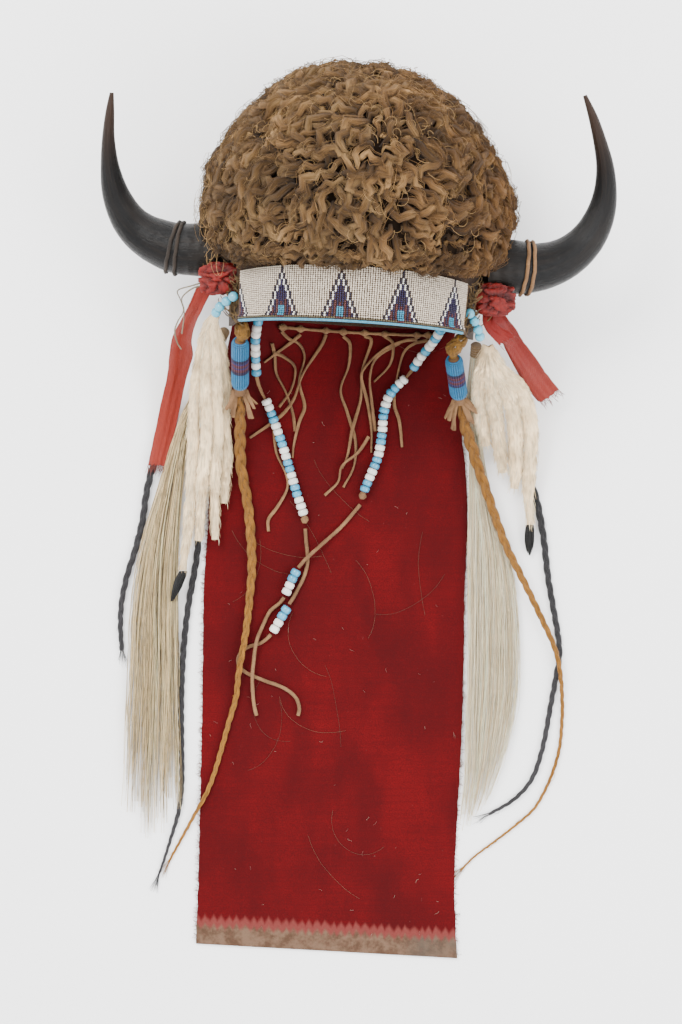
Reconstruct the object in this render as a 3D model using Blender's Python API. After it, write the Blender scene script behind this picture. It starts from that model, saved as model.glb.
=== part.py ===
"""A buffalo-horn war bonnet that lies on its back, with its brow band facing up.

The open rim faces -Y, the crown +Y and the front of the bonnet +Z. The origin is on the surface that the
bonnet lies on, under the middle of its back rim. Lengths are in metres, and tables that say so in millimetres.
"""

import math

import bmesh
import bpy
from mathutils import Vector
from mathutils.bvhtree import BVHTree

MM = 0.001
TOUCH_GAP = 0.0004

# The hide cap: a dome on an oval rim, turned a little on the surface.
CAP_HALF_WIDTH = 0.092
CAP_HALF_DEPTH = 0.081
# The tables of places below fit a cap of these half sizes, and follow the cap's own when it changes.
TABLE_HALF_WIDTH = 0.092
TABLE_HALF_DEPTH = 0.081
CAP_TALL = 0.152
CAP_MIDDLE_X = 0.001
CAP_TURN = math.radians(-3.3)
CAP_FULLNESS = 2.6
CAP_LIFT = 0.016
RIM_TUCK = 0.035
EAR_DROP = 0.010
EAR_ANGLE = math.radians(85)
EAR_SPREAD = math.radians(30)
HIDE_WALL = 0.003
HIDE_SIDES = 24
HIDE_ROWS = 6

# The wool on the hide.
WOOL_GAP = 0.0007
WOOL_DEEP = 0.035
WOOL_CROWN_DEEP = 0.028
WOOL_EDGE_DEEP = 0.013
WOOL_SIDES = 48
WOOL_ROWS = 11
WOOL_FILL_ROWS = 3.2
LOCK_ROWS = 6
LOCK_WIDE = 0.034
# Where the wool ends above the rim: degrees from the front of the cap, millimetres.
WOOL_EDGE = ((0, 36), (50, 35), (62, 38), (78, 43), (92, 40), (108, 28), (125, 18), (150, 14), (180, 14))

# The brow band.
BAND_TALL = 0.038
BAND_BOTTOM = -0.005
BAND_END_BOTTOM_DROP = 0.002
BAND_END_TOP_DROP = 0.0055
BAND_HALF_ANGLE = math.radians(61)
BAND_THICK = 0.003
BAND_ROLL = 0.0012
BAND_ROLL_TALL = 0.0035
BAND_GAP = 0.0006
BAND_COLUMNS = 14

# The horns, from base to tip: millimetres out, up and above the surface, and thickness.
HORN_SIDES = 11
HORN_FLATNESS = 0.94
HORN_LEFT = (
    (-96, 48.5, 90, 37.5),
    (-112, 50, 89, 38),
    (-125, 51, 87.5, 36.5),
    (-138, 55.5, 86.5, 34),
    (-150, 62, 86, 30),
    (-159.5, 71, 87, 26),
    (-166.5, 83, 88.5, 22),
    (-171, 96, 91, 18),
    (-173.5, 112, 94.5, 13),
    (-174, 130, 99, 9.2),
    (-172.5, 148, 104, 6.4),
    (-171, 161, 107, 3),
)
HORN_RIGHT = (
    (98, 38, 89, 39),
    (118, 37.5, 87.5, 39.5),
    (131, 37, 86, 36),
    (144, 39.5, 85, 33),
    (156, 44.5, 85, 30),
    (167, 53, 85.5, 27),
    (175.5, 64, 87, 24),
    (181.5, 78, 89, 20.5),
    (184, 93, 92, 16.5),
    (183.5, 109, 95, 13),
    (180, 125, 98.5, 10),
    (174.5, 143, 103, 7),
    (168, 159, 107, 3),
)
HORN_CLEAR = 0.0008
LACING_THICK = 0.0026
LACING_CLEAR = 0.0013
LACING_START = 0.026
LACING_PITCH = 0.0052
LACING_STEPS = 9
LACING_TURNS = 1.6

# The trailer: red wool cloth under the cap and out over the surface.
CLOTH_THICK = 0.0015
CLOTH_GAP = 0.0010
# Where the folds of its grid lie at the rim: degrees from the bottom of the cap.
CLOTH_ANGLES = (-70, -57, -44, -31, -18, -5, 5, 18, 31, 44, 58)
CLOTH_TUCKED = 0.010
# Rows below the rim, in millimetres: along Y, left edge, right edge; share of the rim's rise; height of waves.
CLOTH_ROWS = (
    (-13, -88, 76, 0.80, 0.0),
    (-31, -94, 77.5, 0.50, 0.6),
    (-54, -99, 80, 0.25, 1.4),
    (-82, -102.5, 83.5, 0.09, 1.6),
    (-114, -104.8, 87, 0.0, 1.2),
    (-152, -106.6, 87.8, 0.0, 0.8),
    (-196, -109.6, 86, 0.0, 1.1),
    (-250, -110.3, 85.2, 0.0, 0.9),
    (-306, -111.2, 83.6, 0.0, 1.2),
    (-362, -112.4, 80.8, 0.0, 0.8),
    (-418, -113.8, 78.2, 0.0, 1.0),
    (-468.5, -115.5, 80.2, 0.0, 0.4),
)
CLOTH_END_SLANT = 0.011

# Pony beads and thongs.
BEAD_WIDE = 0.0074
BEAD_LONG = 0.0047
UPPER_BEAD_LONG = 0.0052
BEAD_SIDES = 10
BEAD_NECK = 0.55
BEAD_EDGE = 0.16
THONG_WIDE = 0.0028
CORD_STEPS = 3
KNOT_WIDE = 0.0058
LOOP_BEAD_WIDE = 0.0071

# Routes, in millimetres: along X, along Y, and lift above what the piece lies on.
STRING_LEFT = (
    (-67.5, 3, 7.5), (-69, -5, 6), (-70, -13, 3), (-70, -29, 2.4), (-69, -41, 2), (-66, -50, 1.4),
    (-61, -60, 1.2),
    (-55.5, -75, 0.6), (-50, -91, 0.4), (-45, -108, 0.4), (-40, -125, 0.4), (-34.5, -142, 0.3),
    (-34, -148, 0.2),
)
STRING_RIGHT = (
    (67.5, -4, 7.5), (62, -13, 3), (53, -24, 2), (46, -34, 1.4), (41, -40, 1), (35, -45.5, 0.8),
    (28.5, -54, 0.6),
    (25, -67, 0.4), (24, -80, 0.4), (21, -98, 0.4), (15, -113, 0.4), (10, -125, 0.3), (9, -130, 0.2),
)
# What is on each string from its top: beads or a bare stretch, how many or how long in millimetres, bead length.
STRING_LEFT_RUNS = (("beads", 9, UPPER_BEAD_LONG), ("bare", 19, 0), ("beads", 19, BEAD_LONG), ("knot", 1, 0))
STRING_RIGHT_RUNS = (("beads", 9, UPPER_BEAD_LONG), ("bare", 8, 0), ("beads", 20, BEAD_LONG), ("knot", 1, 0))
THONG_LEFT_UPPER = (
    (-33.5, -152, 0), (-33, -160, 0), (-32, -170, 0), (-32, -179, 0), (-35, -189, 0), (-41, -201, 0),
    (-45.5, -208.5, 1.4),
)
GROUP_LEFT = ((-46.4, -210.2, 0.2), (-50, -216, 0.2), (-54, -223, 0.2), (-58, -229.5, 0.2))
THONG_LEFT_END = (
    (-59.3, -231.4, 1.4), (-63, -235, 0), (-68, -238, 0), (-76, -240.5, 0), (-82, -245, 0), (-84, -252, 0),
    (-79, -259, 0), (-66, -265, 0), (-50, -271, 0), (-41, -278, 0), (-38, -286, 0), (-39, -292, 0),
)
THONG_RIGHT_UPPER = (
    (7.6, -134, 0), (1, -142, 0), (-7, -151, 0), (-18, -161, 1.4), (-27, -169, 3.6), (-33.5, -175, 3.6),
    (-38.6, -181, 2),
)
GROUP_RIGHT = ((-39.4, -182.6, 0.2), (-43, -189, 0.2), (-45.5, -195, 0.2), (-48.5, -201.5, 0.2))
THONG_RIGHT_END = (
    (-49.5, -203.6, 1.4), (-53, -208, 0), (-60, -214, 0), (-65, -224, 0), (-68.5, -232, 2.4),
    (-70.5, -239, 4.2),
    (-72, -250, 2.4), (-73, -261.5, 4.2), (-73, -271, 1.6), (-72, -283, 0), (-70, -292, 0),
)
RIM_KNOTS = (-50, -37, -18, -5, 11, 26, 50, 58)
RIM_LACING_OFF = 0.0050

# Braids of horsehair: along X, along Y, lift above what the braid lies on, and thickness.
BRAID_YELLOW_LEFT = (
    (-81.1, -53.6, 22.5, 6), (-81.3, -62, 16, 7.6), (-81.6, -72, 10, 8.6), (-82, -84, 4.5, 8.8),
    (-82, -96, 1.2, 8.6),
    (-81, -109, 0.3, 8.2), (-76.5, -134, 0, 7.6),
    (-74, -161, 0, 7.2), (-73.5, -183, 0, 6.6), (-75, -202, 0, 6), (-77, -222, 1, 5.4), (-79, -236, 3.6, 5),
    (-81, -247, 4.2, 4.8), (-83.5, -262, 3.2, 4.6), (-85.5, -279, 0, 4.2), (-91, -298, 0, 4),
    (-100, -330, 0, 3.6),
    (-106.5, -348, 0.7, 3.4), (-113.5, -361, 1.2, 3), (-124, -380, 0, 2.4), (-136, -402, 0, 1.8),
)
BRAID_YELLOW_RIGHT = (
    (81.3, -60.4, 27.6, 6), (83, -67, 22.5, 7.6), (85, -75, 18.5, 8.6), (87.5, -83, 15.5, 9.2),
    (90.5, -91, 13, 9.2), (95, -105, 10, 8.4), (100, -119, 9.4, 7.8),
    (109, -145, 9.2, 6.8), (117, -166, 9.4, 6.2), (126, -184, 9, 5.6), (136, -204, 6, 5),
    (145, -223, 6, 4.6),
    (151, -236, 5.6, 4.2), (155.5, -250, 5.2, 3.8), (158, -266, 4, 3.4), (158.8, -279, 1, 3.2),
    (159, -292, 0, 3), (157, -316, 0, 2.8),
    (151, -337, 0, 2.6), (143, -354, 0, 2.4), (136, -364, 0, 2.2), (122, -376, 0, 2), (109, -386, 0, 1.8),
    (93, -398, 0, 1.6), (83, -408, 0, 1.4),
)
BRAID_BLACK_OUTER = (
    (-138, -76, 0, 5.4), (-142, -90, 0, 5.4), (-149, -110, 0, 5.4), (-153, -128, 0, 5.4),
    (-155.5, -146, 0, 5.2),
    (-161, -168, 0, 5), (-167, -187, 0, 4.8), (-171, -206, 0, 4.6), (-172, -224, 0, 4.2),
    (-171, -243, 0, 3.6),
)
BRAID_BLACK_INNER = (
    (-112, -146, 0, 5), (-113.5, -160, 0, 5.2), (-115, -175, 0, 5.2), (-118, -192, 0, 5.2),
    (-121.5, -212, 0, 5),
    (-124.1, -236, 0, 5), (-125.8, -262, 0, 4.8), (-126.4, -289, 0, 4.6), (-126.1, -318, 0, 4.4),
    (-126, -344, 0, 4),
    (-128.5, -364, 0, 3.6), (-134, -383, 0, 2.8), (-140, -402, 0, 2.2), (-144, -413, 0, 1.6),
)
BRAID_BLACK_RIGHT = (
    (127, -96, 2, 5), (131, -108, 0.6, 5.4), (135.5, -118, 0, 5.6), (140.5, -134, 0, 5.6),
    (145, -159, 0, 5.4),
    (148, -186, 0, 5.2), (151.5, -207, 0, 5), (155.5, -230, 0, 4.8), (157, -246, 0, 4.6),
    (154.5, -262, 0, 4.6),
    (150, -286, 0, 4.4), (146.5, -306, 0, 4.2), (143, -321, 0, 4), (138, -336, 0, 3.8), (131, -347, 0, 3.4),
    (121, -355, 0, 3), (109, -362, 0, 2.6), (98, -367, 0, 2),
)

# Temple ornaments: knots, sleeves and loops of beads, in millimetres along X, Y and above the surface.
LOOP_LEFT = ((-83.6, 14, 119.8), (-88.6, 11, 115.2), (-93.6, 7.3, 110.0), (-96.4, 3.6, 104.1))
LOOP_RIGHT = ((85.1, 2.1, 115.5), (88.9, -3.4, 111.3), (91.6, -9, 106.5), (93, -13.5, 101))
SLEEVE_WIDE = 0.0125
SLEEVE_LEFT = ((-80, -15, 77), (-81, -47, 46))
SLEEVE_RIGHT = ((75, -28, 77), (80, -54, 49))
SLEEVE_KNOT_LEFT = ((-79.2, -3.1, 86.3), (-78, -9, 82), (-80, -14.2, 77.7))
SLEEVE_KNOT_RIGHT = ((82.6, -12.6, 86.1), (75.2, -20.6, 83), (74.8, -27.2, 77.7))
SLEEVE_KNOT_WIDE = 0.012
# Thong fringes under the sleeves: where each strip ends.
FRINGE_LEFT_ENDS = ((-89, -63, 33), (-87, -69, 27), (-75, -70, 28), (-71, -63, 35))
FRINGE_RIGHT_ENDS = ((73, -72, 37), (77, -79, 31), (91, -74, 36), (93, -67, 42))
# Where the strips leave the head: millimetres to the right and up.
FRINGE_ROOTS = ((-4.4, 0.6), (-3.4, -1.6), (3.4, -1.6), (4.4, 0.6))
FRINGE_HEAD_LONG = 0.006
FRINGE_WIDE = 0.0032
FRINGE_THICK = 0.0016

# Ermine strips: a route for each strip, in millimetres along X, Y and above the surface; width; thickness.
ERMINE_WIDE = 0.0092
ERMINE_THICK = 0.0070
ERMINE_STEP = 0.030
ERMINE_LEFT_HEAD = (-97, 2, 93)
ERMINE_LEFT = (
    ((-102.5, -4, 86), (-108, -20, 63), (-114, -50, 35), (-116, -90, 17), (-119, -130, 12.5),
     (-121, -155, 12), (-124, -183, 12)),
    ((-101.5, -4, 87), (-104, -20, 67), (-106.5, -50, 39), (-108, -90, 20), (-110.5, -130, 14),
     (-113, -161, 12)),
    ((-99.5, -4, 88), (-98.5, -20, 69), (-98, -50, 38), (-99.5, -90, 17), (-102, -130, 11),
     (-103, -160, 10)),
    ((-98.5, -4, 87), (-95, -20, 64), (-93, -50, 31), (-92.4, -85, 13), (-92.6, -112, 8), (-93, -133, 7.5)),
)
ERMINE_TIP_LEFT = ((-124.3, -183.9, 12, 6), (-127, -190, 12, 7.4), (-130, -198, 11, 6), (-133, -206, 9, 2))
ERMINE_RIGHT_HEAD = (100, -20, 86.5)
ERMINE_RIGHT = (
    ((97.5, -26, 84), (95.5, -38, 72), (96, -55, 50), (98.5, -74, 27), (102, -90, 18)),
    ((99.5, -26, 84), (101, -38, 73), (105, -55, 53), (110, -78, 27), (112.5, -110, 14)),
    ((101.5, -26, 84), (107, -38, 72), (116, -52, 54), (122, -78, 27), (123.5, -104, 15.5),
     (121, -122, 11.5)),
    ((103.5, -25, 84), (111, -36, 71), (124.5, -49, 51), (132, -72, 28), (134.5, -105, 15.5),
     (134.5, -149, 7)),
)
ERMINE_TIP_RIGHT = ((134.4, -149.5, 6.7, 6), (134.2, -156, 6, 7.4), (134.2, -165, 5, 6.4), (134.4, -172, 4, 2))

# Horsehair drops: a route for each lock, in millimetres along X, Y and above the surface, then its width.
HAIR_THICK = 0.0072
HAIR_LEFT_HEAD = (-92.8, -9.3, 59.9)
HAIR_LEFT = (
    ((-97, -17, 49, 5), (-106.5, -40, 26, 6), (-124, -74, 8, 7), (-137, -122, 5, 10),
     (-148, -165, 5, 12), (-154, -210, 5, 15), (-157, -270, 5, 15), (-159, -330, 4.6, 12),
     (-158, -372, 4, 4)),
    ((-97, -17, 49, 5), (-106.5, -40, 26, 6), (-124, -74, 8, 7), (-134, -122, 6, 11),
     (-140, -165, 6, 14), (-143, -210, 6, 16), (-144, -270, 6, 16), (-145, -330, 5.6, 13),
     (-146, -392, 4, 4)),
    ((-97, -17, 49, 5), (-106.5, -40, 26, 6), (-124, -74, 8, 7), (-131, -122, 5, 9),
     (-134.5, -165, 5, 10), (-135.5, -210, 5, 11), (-135, -270, 5, 11), (-135, -325, 4.6, 9),
     (-137, -362, 4, 3)),
)
HAIR_RIGHT_HEAD = (91.3, -20.9, 75)
HAIR_RIGHT = (
    ((90.5, -31, 67, 5), (89.8, -56, 35, 6), (93.5, -86, 7.6, 7), (94.5, -125, 5, 9), (95, -170, 5, 11),
     (95, -230, 5, 11), (93, -290, 5, 10), (91, -340, 4.6, 9), (86, -378, 4, 3)),
    ((90.5, -31, 67, 5), (89.8, -56, 35, 6), (93.5, -86, 7.6, 7), (99, -130, 5.5, 10),
     (106, -172, 5.5, 14), (108, -230, 5.5, 16), (106, -290, 5.5, 15), (99, -340, 4.6, 10),
     (92, -366, 4, 3)),
    ((90.5, -31, 67, 5), (89.8, -56, 35, 6), (93.5, -86, 7.6, 7), (101, -130, 5, 8), (113, -172, 5, 11),
     (119, -230, 5, 13), (117, -290, 5, 12), (107, -336, 4.6, 8), (99, -358, 4, 3)),
)

# Silk ribbons: rows of left edge, right edge and height, in millimetres.
SILK_THICK = 0.0010
RIBBON_LEFT = (
    ((-109.5, 22.4, 104.9), (-98, 22.4, 104.9)), ((-117, 8, 92), (-107, 7, 94)), ((-129, -9, 62),
     (-115.5, -10, 66)),
    ((-133, -23, 44), (-116, -24, 47)), ((-136, -40, 27), (-121.5, -40, 29)), ((-141, -58, 14),
     (-126.5, -59, 15)),
    ((-146, -80, 6.6), (-131.5, -81, 6.6)), ((-151, -104, 6.2), (-137.5, -105, 6.2)),
)
RIBBON_RIGHT = (
    ((98.5, 7, 93.1), (109, 7, 93.1)), ((103, -3, 91.6), (114, -1, 91.6)), ((106.5, -9, 84), (118, -5, 84)), ((113, -21, 68), (126, -15, 68)),
    ((121, -34, 52), (137, -28, 52)), ((130, -47, 34), (147, -40, 34)), ((140, -58, 22), (156, -50, 22)),
)
RIBBON_END_RIGHT = (
    ((96.5, 9.5, 96.1), (104.5, 9, 96.1)), ((95, 0, 97), (103, -1.5, 97.4)), ((97, -8, 97.6), (108, -7, 98)), ((102, -14, 97.2), (114, -10, 97.8)),
    ((107, -19, 96.4), (119, -13, 97)),
)
ROSETTE_LEFT = (-94.2, 27.5, 108.8)
ROSETTE_RIGHT = (104, 13.2, 102.1)
ROSETTE_SIZE = (0.0130, 0.0105, 0.0046)
ROSETTE_PLEATS = 8
ROSETTE_PLEAT_DEEP = 0.16


def material(name, colour, roughness, metallic=0.0):
    """Returns a plain material with one colour, roughness and metallic value."""
    made = bpy.data.materials.new(name)
    made.use_nodes = True
    shader = made.node_tree.nodes["Principled BSDF"]
    shader.inputs["Base Color"].default_value = (*colour, 1.0)
    shader.inputs["Roughness"].default_value = roughness
    shader.inputs["Metallic"].default_value = metallic
    return made


def add_object(name, data, finish):
    """Adds an object with one material to the scene."""
    made = bpy.data.objects.new(name, data)
    data.materials.append(finish)
    bpy.context.scene.collection.objects.link(made)
    return made


def add_mesh(name, points, faces, finish, sharp=50):
    """Adds a smooth-shaded mesh object made of points and faces."""
    mesh = bpy.data.meshes.new(name)
    mesh.from_pydata([tuple(p) for p in points], [], faces)
    mesh.update()
    mesh.shade_smooth()
    mesh.set_sharp_from_angle(angle=math.radians(sharp))
    return add_object(name, mesh, finish)


def between(table, at):
    """Reads a table of (place, value) rows at a place, with straight lines between its rows."""
    for (low, first), (high, second) in zip(table, table[1:]):
        if at <= high:
            return first + (second - first) * max(0.0, at - low) / (high - low)
    return table[-1][1]


def smooth_route(points, spacing):
    """Returns points about spacing apart on one smooth curve through a route's points, ends included.

    Points may hold more than three numbers: all of them are carried along.
    """
    ends = [[2 * a - b for a, b in zip(points[0], points[1])], [2 * a - b for a, b in zip(points[-1], points[-2])]]
    spread = [ends[0], *points, ends[1]]
    fine = []
    steps = 12
    for i in range(1, len(spread) - 2):
        before, start, end, after = spread[i - 1 : i + 3]
        for k in range(steps):
            t = k / steps
            fine.append([
                0.5 * (2 * b + (c - a) * t + (2 * a - 5 * b + 4 * c - d) * t * t + (3 * b - a - 3 * c + d) * t ** 3)
                for a, b, c, d in zip(before, start, end, after)
            ])
    fine.append(list(points[-1]))
    along = [0.0]
    for a, b in zip(fine, fine[1:]):
        along.append(along[-1] + math.dist(a[:3], b[:3]))
    count = max(2, round(along[-1] / spacing) + 1)
    out = []
    k = 0
    for i in range(count):
        target = along[-1] * i / (count - 1)
        while k < len(along) - 2 and along[k + 1] < target:
            k += 1
        share = (target - along[k]) / max(along[k + 1] - along[k], 1e-9)
        out.append([a + (b - a) * share for a, b in zip(fine[k], fine[k + 1])])
    return out


def scaled(route):
    """Turns a table's millimetres into metres, and fits its places to the cap's width and depth."""
    wide = MM * CAP_HALF_WIDTH / TABLE_HALF_WIDTH
    deep = MM * CAP_HALF_DEPTH / TABLE_HALF_DEPTH
    return [[row[0] * wide, row[1] * MM, row[2] * deep, *(value * MM for value in row[3:])] for row in route]


def placed(point):
    """Turns one point of a table into metres."""
    return Vector(scaled((point,))[0])


def cap_share(up):
    """Returns the share of the full half width at a height on the cap, and how that share changes with height."""
    u = min(max(up / CAP_TALL, 0.0), 0.9999)
    n = CAP_FULLNESS
    dome = (1 - u ** n) ** (1 / n)
    dome_slope = -(u ** (n - 1)) * (1 - u ** n) ** (1 / n - 1) / CAP_TALL
    tuck = 1 - RIM_TUCK * (1 - u) ** 4
    tuck_slope = 4 * RIM_TUCK * (1 - u) ** 3 / CAP_TALL
    return dome * tuck, dome_slope * tuck + dome * tuck_slope


def turned(point):
    """Turns a point of the cap's own frame into the model's frame."""
    x, y, z = point
    return Vector((
        x * math.cos(CAP_TURN) - y * math.sin(CAP_TURN),
        x * math.sin(CAP_TURN) + y * math.cos(CAP_TURN),
        z,
    ))


def rim_half_depth():
    """Returns the hide's half depth at its rim."""
    return CAP_HALF_DEPTH * cap_share(0.0)[0]


def cap_axis_height():
    """Returns the height of the cap's axis at the rim, with the cloth under it on the surface."""
    return (rim_half_depth() + CLOTH_GAP + CLOTH_THICK) * math.cos(math.radians(CLOTH_ANGLES[6]))


def cap_point(angle, up, out):
    """Returns a point of the cap.

    angle runs from the front of the cap towards +X, up is the height above the rim, and out the distance outside
    the hide, square to it.
    """
    share, slope = cap_share(up)
    lean = CAP_LIFT / CAP_TALL
    across, front = math.sin(angle), math.cos(angle)
    place = Vector((
        CAP_MIDDLE_X + CAP_HALF_WIDTH * share * across,
        up,
        cap_axis_height() + lean * up + CAP_HALF_DEPTH * share * front,
    ))
    square = Vector((
        CAP_HALF_DEPTH * across,
        -CAP_HALF_WIDTH * CAP_HALF_DEPTH * slope - CAP_HALF_WIDTH * lean * front,
        CAP_HALF_WIDTH * front,
    )).normalized()
    return turned(place + square * out)


def cap_top(out):
    """Returns the middle of the crown, out outside the hide."""
    return turned((CAP_MIDDLE_X, CAP_TALL + out, cap_axis_height() + CAP_LIFT))


def rim_at(angle):
    """Returns the height of the hide's edge at an angle: it drops at the ears."""
    off = (abs(angle) - EAR_ANGLE) / EAR_SPREAD
    return -EAR_DROP * math.exp(-off * off)


def even_angles(count):
    """Returns count angles round the cap, from its back round by +X to the back again."""
    return [-math.pi + 2 * math.pi * k / count for k in range(count)]


def shell(name, outer, outer_top, inner, inner_top, finish):
    """Adds a closed dome with a wall: rows of points from edge to crown, outside and inside, joined at the edge.

    The outer rows hold as many points as the inner ones, or twice as many.
    """
    points = [p for row in outer for p in row] + [outer_top] + [p for row in inner for p in row] + [inner_top]
    wide, narrow = len(outer[0]), len(inner[0])
    inner_start = wide * len(outer) + 1
    faces = []
    for k in range(len(outer) - 1):
        for i in range(wide):
            j = (i + 1) % wide
            faces.append((k * wide + i, k * wide + j, (k + 1) * wide + j, (k + 1) * wide + i))
    last = (len(outer) - 1) * wide
    faces += [(last + i, last + (i + 1) % wide, inner_start - 1) for i in range(wide)]
    for k in range(len(inner) - 1):
        for i in range(narrow):
            j = (i + 1) % narrow
            a, b = inner_start + k * narrow, inner_start + (k + 1) * narrow
            faces.append((a + j, a + i, b + i, b + j))
    last = inner_start + (len(inner) - 1) * narrow
    faces += [(last + (i + 1) % narrow, last + i, len(points) - 1) for i in range(narrow)]
    times = wide // narrow
    for i in range(narrow):
        j = (i + 1) % narrow
        if times == 1:
            faces.append((i, inner_start + i, inner_start + j, j))
        else:
            a, b, c = times * i, times * i + 1, (times * i + 2) % wide
            faces.append((a, inner_start + i, b))
            faces.append((b, inner_start + i, inner_start + j))
            faces.append((b, inner_start + j, c))
    return add_mesh(name, points, faces, finish)


def tube(name, rings, finish, sharp=50):
    """Adds a closed tube through rings of points, with flat ends."""
    sides = len(rings[0])
    points = [p for ring in rings for p in ring]
    faces = []
    for k in range(len(rings) - 1):
        for i in range(sides):
            j = (i + 1) % sides
            faces.append((k * sides + i, k * sides + j, (k + 1) * sides + j, (k + 1) * sides + i))
    last = (len(rings) - 1) * sides
    faces.append(tuple(reversed(range(sides))))
    faces.append(tuple(last + i for i in range(sides)))
    made = add_mesh(name, points, faces, finish, sharp)
    face_out(made)
    return made


def face_out(made):
    """Turns a closed mesh's faces outwards."""
    work = bmesh.new()
    work.from_mesh(made.data)
    bmesh.ops.recalc_face_normals(work, faces=work.faces)
    work.to_mesh(made.data)
    work.free()


def directions(route):
    """Returns the direction of a route at each of its points."""
    places = [Vector(p[:3]) for p in route]
    out = []
    for i in range(len(places)):
        out.append((places[min(i + 1, len(places) - 1)] - places[max(i - 1, 0)]).normalized())
    return out


def ring_at(place, along, wide, thick, sides):
    """Returns an oval ring square to a direction: wide level across it, thick the other way."""
    level = along.cross(Vector((0, 0, 1)))
    if level.length < 1e-4:
        level = Vector((1, 0, 0))
    level.normalize()
    rise = level.cross(along).normalized()
    turn = math.pi / sides
    return [
        Vector(place) + level * (math.cos(2 * math.pi * k / sides + turn) * wide / 2)
        + rise * (math.sin(2 * math.pi * k / sides + turn) * thick / 2)
        for k in range(sides)
    ]


def strip(name, route, widths, thicks, finish, sides=6):
    """Adds a closed strip along a route with a width and a thickness at each point."""
    rings = [
        ring_at(place[:3], along, wide, thick, sides)
        for place, along, wide, thick in zip(route, directions(route), widths, thicks)
    ]
    return tube(name, rings, finish)


def unite(made, others):
    """Joins other closed solids into one solid, and keeps them as hidden guides."""
    for other in others:
        join = made.modifiers.new(other.name, "BOOLEAN")
        join.operation = "UNION"
        join.object = other
        hide_guide(other)


def hide_guide(guide):
    """Marks a cutter or guide as no piece of the bonnet."""
    guide.hide_render = True
    guide.display_type = "WIRE"


def lump(name, centre, size, finish, columns=8, rows=4):
    """Adds a closed rounded lump with the half sizes given."""
    points = [Vector(centre) - Vector((0, 0, size[2]))]
    for k in range(1, rows):
        level = math.pi * k / rows - math.pi / 2
        for i in range(columns):
            turn = 2 * math.pi * i / columns
            points.append(Vector(centre) + Vector((
                size[0] * math.cos(level) * math.cos(turn),
                size[1] * math.cos(level) * math.sin(turn),
                size[2] * math.sin(level),
            )))
    points.append(Vector(centre) + Vector((0, 0, size[2])))
    faces = [(0, 1 + (i + 1) % columns, 1 + i) for i in range(columns)]
    for k in range(rows - 2):
        a, b = 1 + k * columns, 1 + (k + 1) * columns
        faces += [(a + i, a + (i + 1) % columns, b + (i + 1) % columns, b + i) for i in range(columns)]
    last = 1 + (rows - 2) * columns
    faces += [(last + i, last + (i + 1) % columns, len(points) - 1) for i in range(columns)]
    return add_mesh(name, points, faces, finish)


def hide_row(k):
    """Returns the height of the hide's row k above the rim."""
    return CAP_TALL * math.sin(k / HIDE_ROWS * math.pi / 2) ** (2 / CAP_FULLNESS)


def make_hide(finish):
    """The hollow hide cap."""
    angles = even_angles(HIDE_SIDES)
    rows = []
    for out in (0.0, -HIDE_WALL):
        side = [[cap_point(a, rim_at(a), out) for a in angles]]
        side += [[cap_point(a, hide_row(k), out) for a in angles] for k in range(1, HIDE_ROWS)]
        rows.append(side)
    return shell("cap_hide", rows[0], cap_top(0.0), rows[1], cap_top(-HIDE_WALL), finish)


def wool_row(angle, share):
    """Returns the height of a wool row at an angle: share runs from the wool's edge to the crown."""
    edge = between(WOOL_EDGE, math.degrees(abs(angle))) * MM
    low = math.asin((edge / CAP_TALL) ** (CAP_FULLNESS / 2))
    return CAP_TALL * math.sin(low + (math.pi / 2 - low) * share) ** (2 / CAP_FULLNESS)


def lock_share(angle, share):
    """Returns how far a lock stands up, from 0 to 1: thin at its root and thick at its tip."""
    down = (1 - share) * LOCK_ROWS
    row = math.floor(down)
    radius = CAP_HALF_WIDTH * math.sin(min(1.0, (row + 1) / LOCK_ROWS) * math.pi / 2)
    count = max(5, round(2 * math.pi * (radius + WOOL_DEEP) / LOCK_WIDE))
    across = (angle / (2 * math.pi) + 0.5) * count + 0.5 * (row % 2) + 0.21 * row
    column = math.floor(across)
    uneven = 0.5 + 0.5 * math.sin(12.9898 * column % count + 78.233 * row)
    return math.sin(math.pi * (across - column)) ** 0.6 * (0.25 + 0.75 * (down - row)) * (0.55 + 0.45 * uneven)


def make_wool(finish, cutters):
    """The wool: a thick coat over the hide whose outside stands up in rows of locks."""
    outer, inner = [], []
    for k in range(WOOL_ROWS):
        share = k / WOOL_ROWS
        fill = min(1.0, (k / WOOL_FILL_ROWS) ** 0.7)
        full = WOOL_DEEP + (WOOL_CROWN_DEEP - WOOL_DEEP) * share * share
        row = []
        for a in even_angles(WOOL_SIDES):
            deep = WOOL_EDGE_DEEP + (full - WOOL_EDGE_DEEP) * fill
            deep *= 0.74 + 0.36 * lock_share(a, share)
            point = cap_point(a, wool_row(a, share), WOOL_GAP + deep)
            point.z = max(point.z, 0.0)
            row.append(point)
        outer.append(row)
    inner.append([cap_point(a, wool_row(a, 0.0), WOOL_GAP) for a in even_angles(HIDE_SIDES)])
    inner += [[cap_point(a, hide_row(k), WOOL_GAP) for a in even_angles(HIDE_SIDES)] for k in range(1, HIDE_ROWS)]
    wool = shell("cap_wool", outer, cap_top(WOOL_GAP + WOOL_CROWN_DEEP), inner, cap_top(WOOL_GAP), finish)
    for cutter in cutters:
        cut = wool.modifiers.new(cutter.name, "BOOLEAN")
        cut.operation = "DIFFERENCE"
        cut.object = cutter
        hide_guide(cutter)
    return wool


def horn_rings(rows, more):
    """Returns a horn's rings, each more thicker than the horn."""
    rows = scaled(rows)
    rings = []
    for row, along in zip(rows, directions(rows)):
        rings.append(ring_at(row[:3], along, row[3] + more, row[3] * HORN_FLATNESS + more, HORN_SIDES))
    return rings


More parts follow.
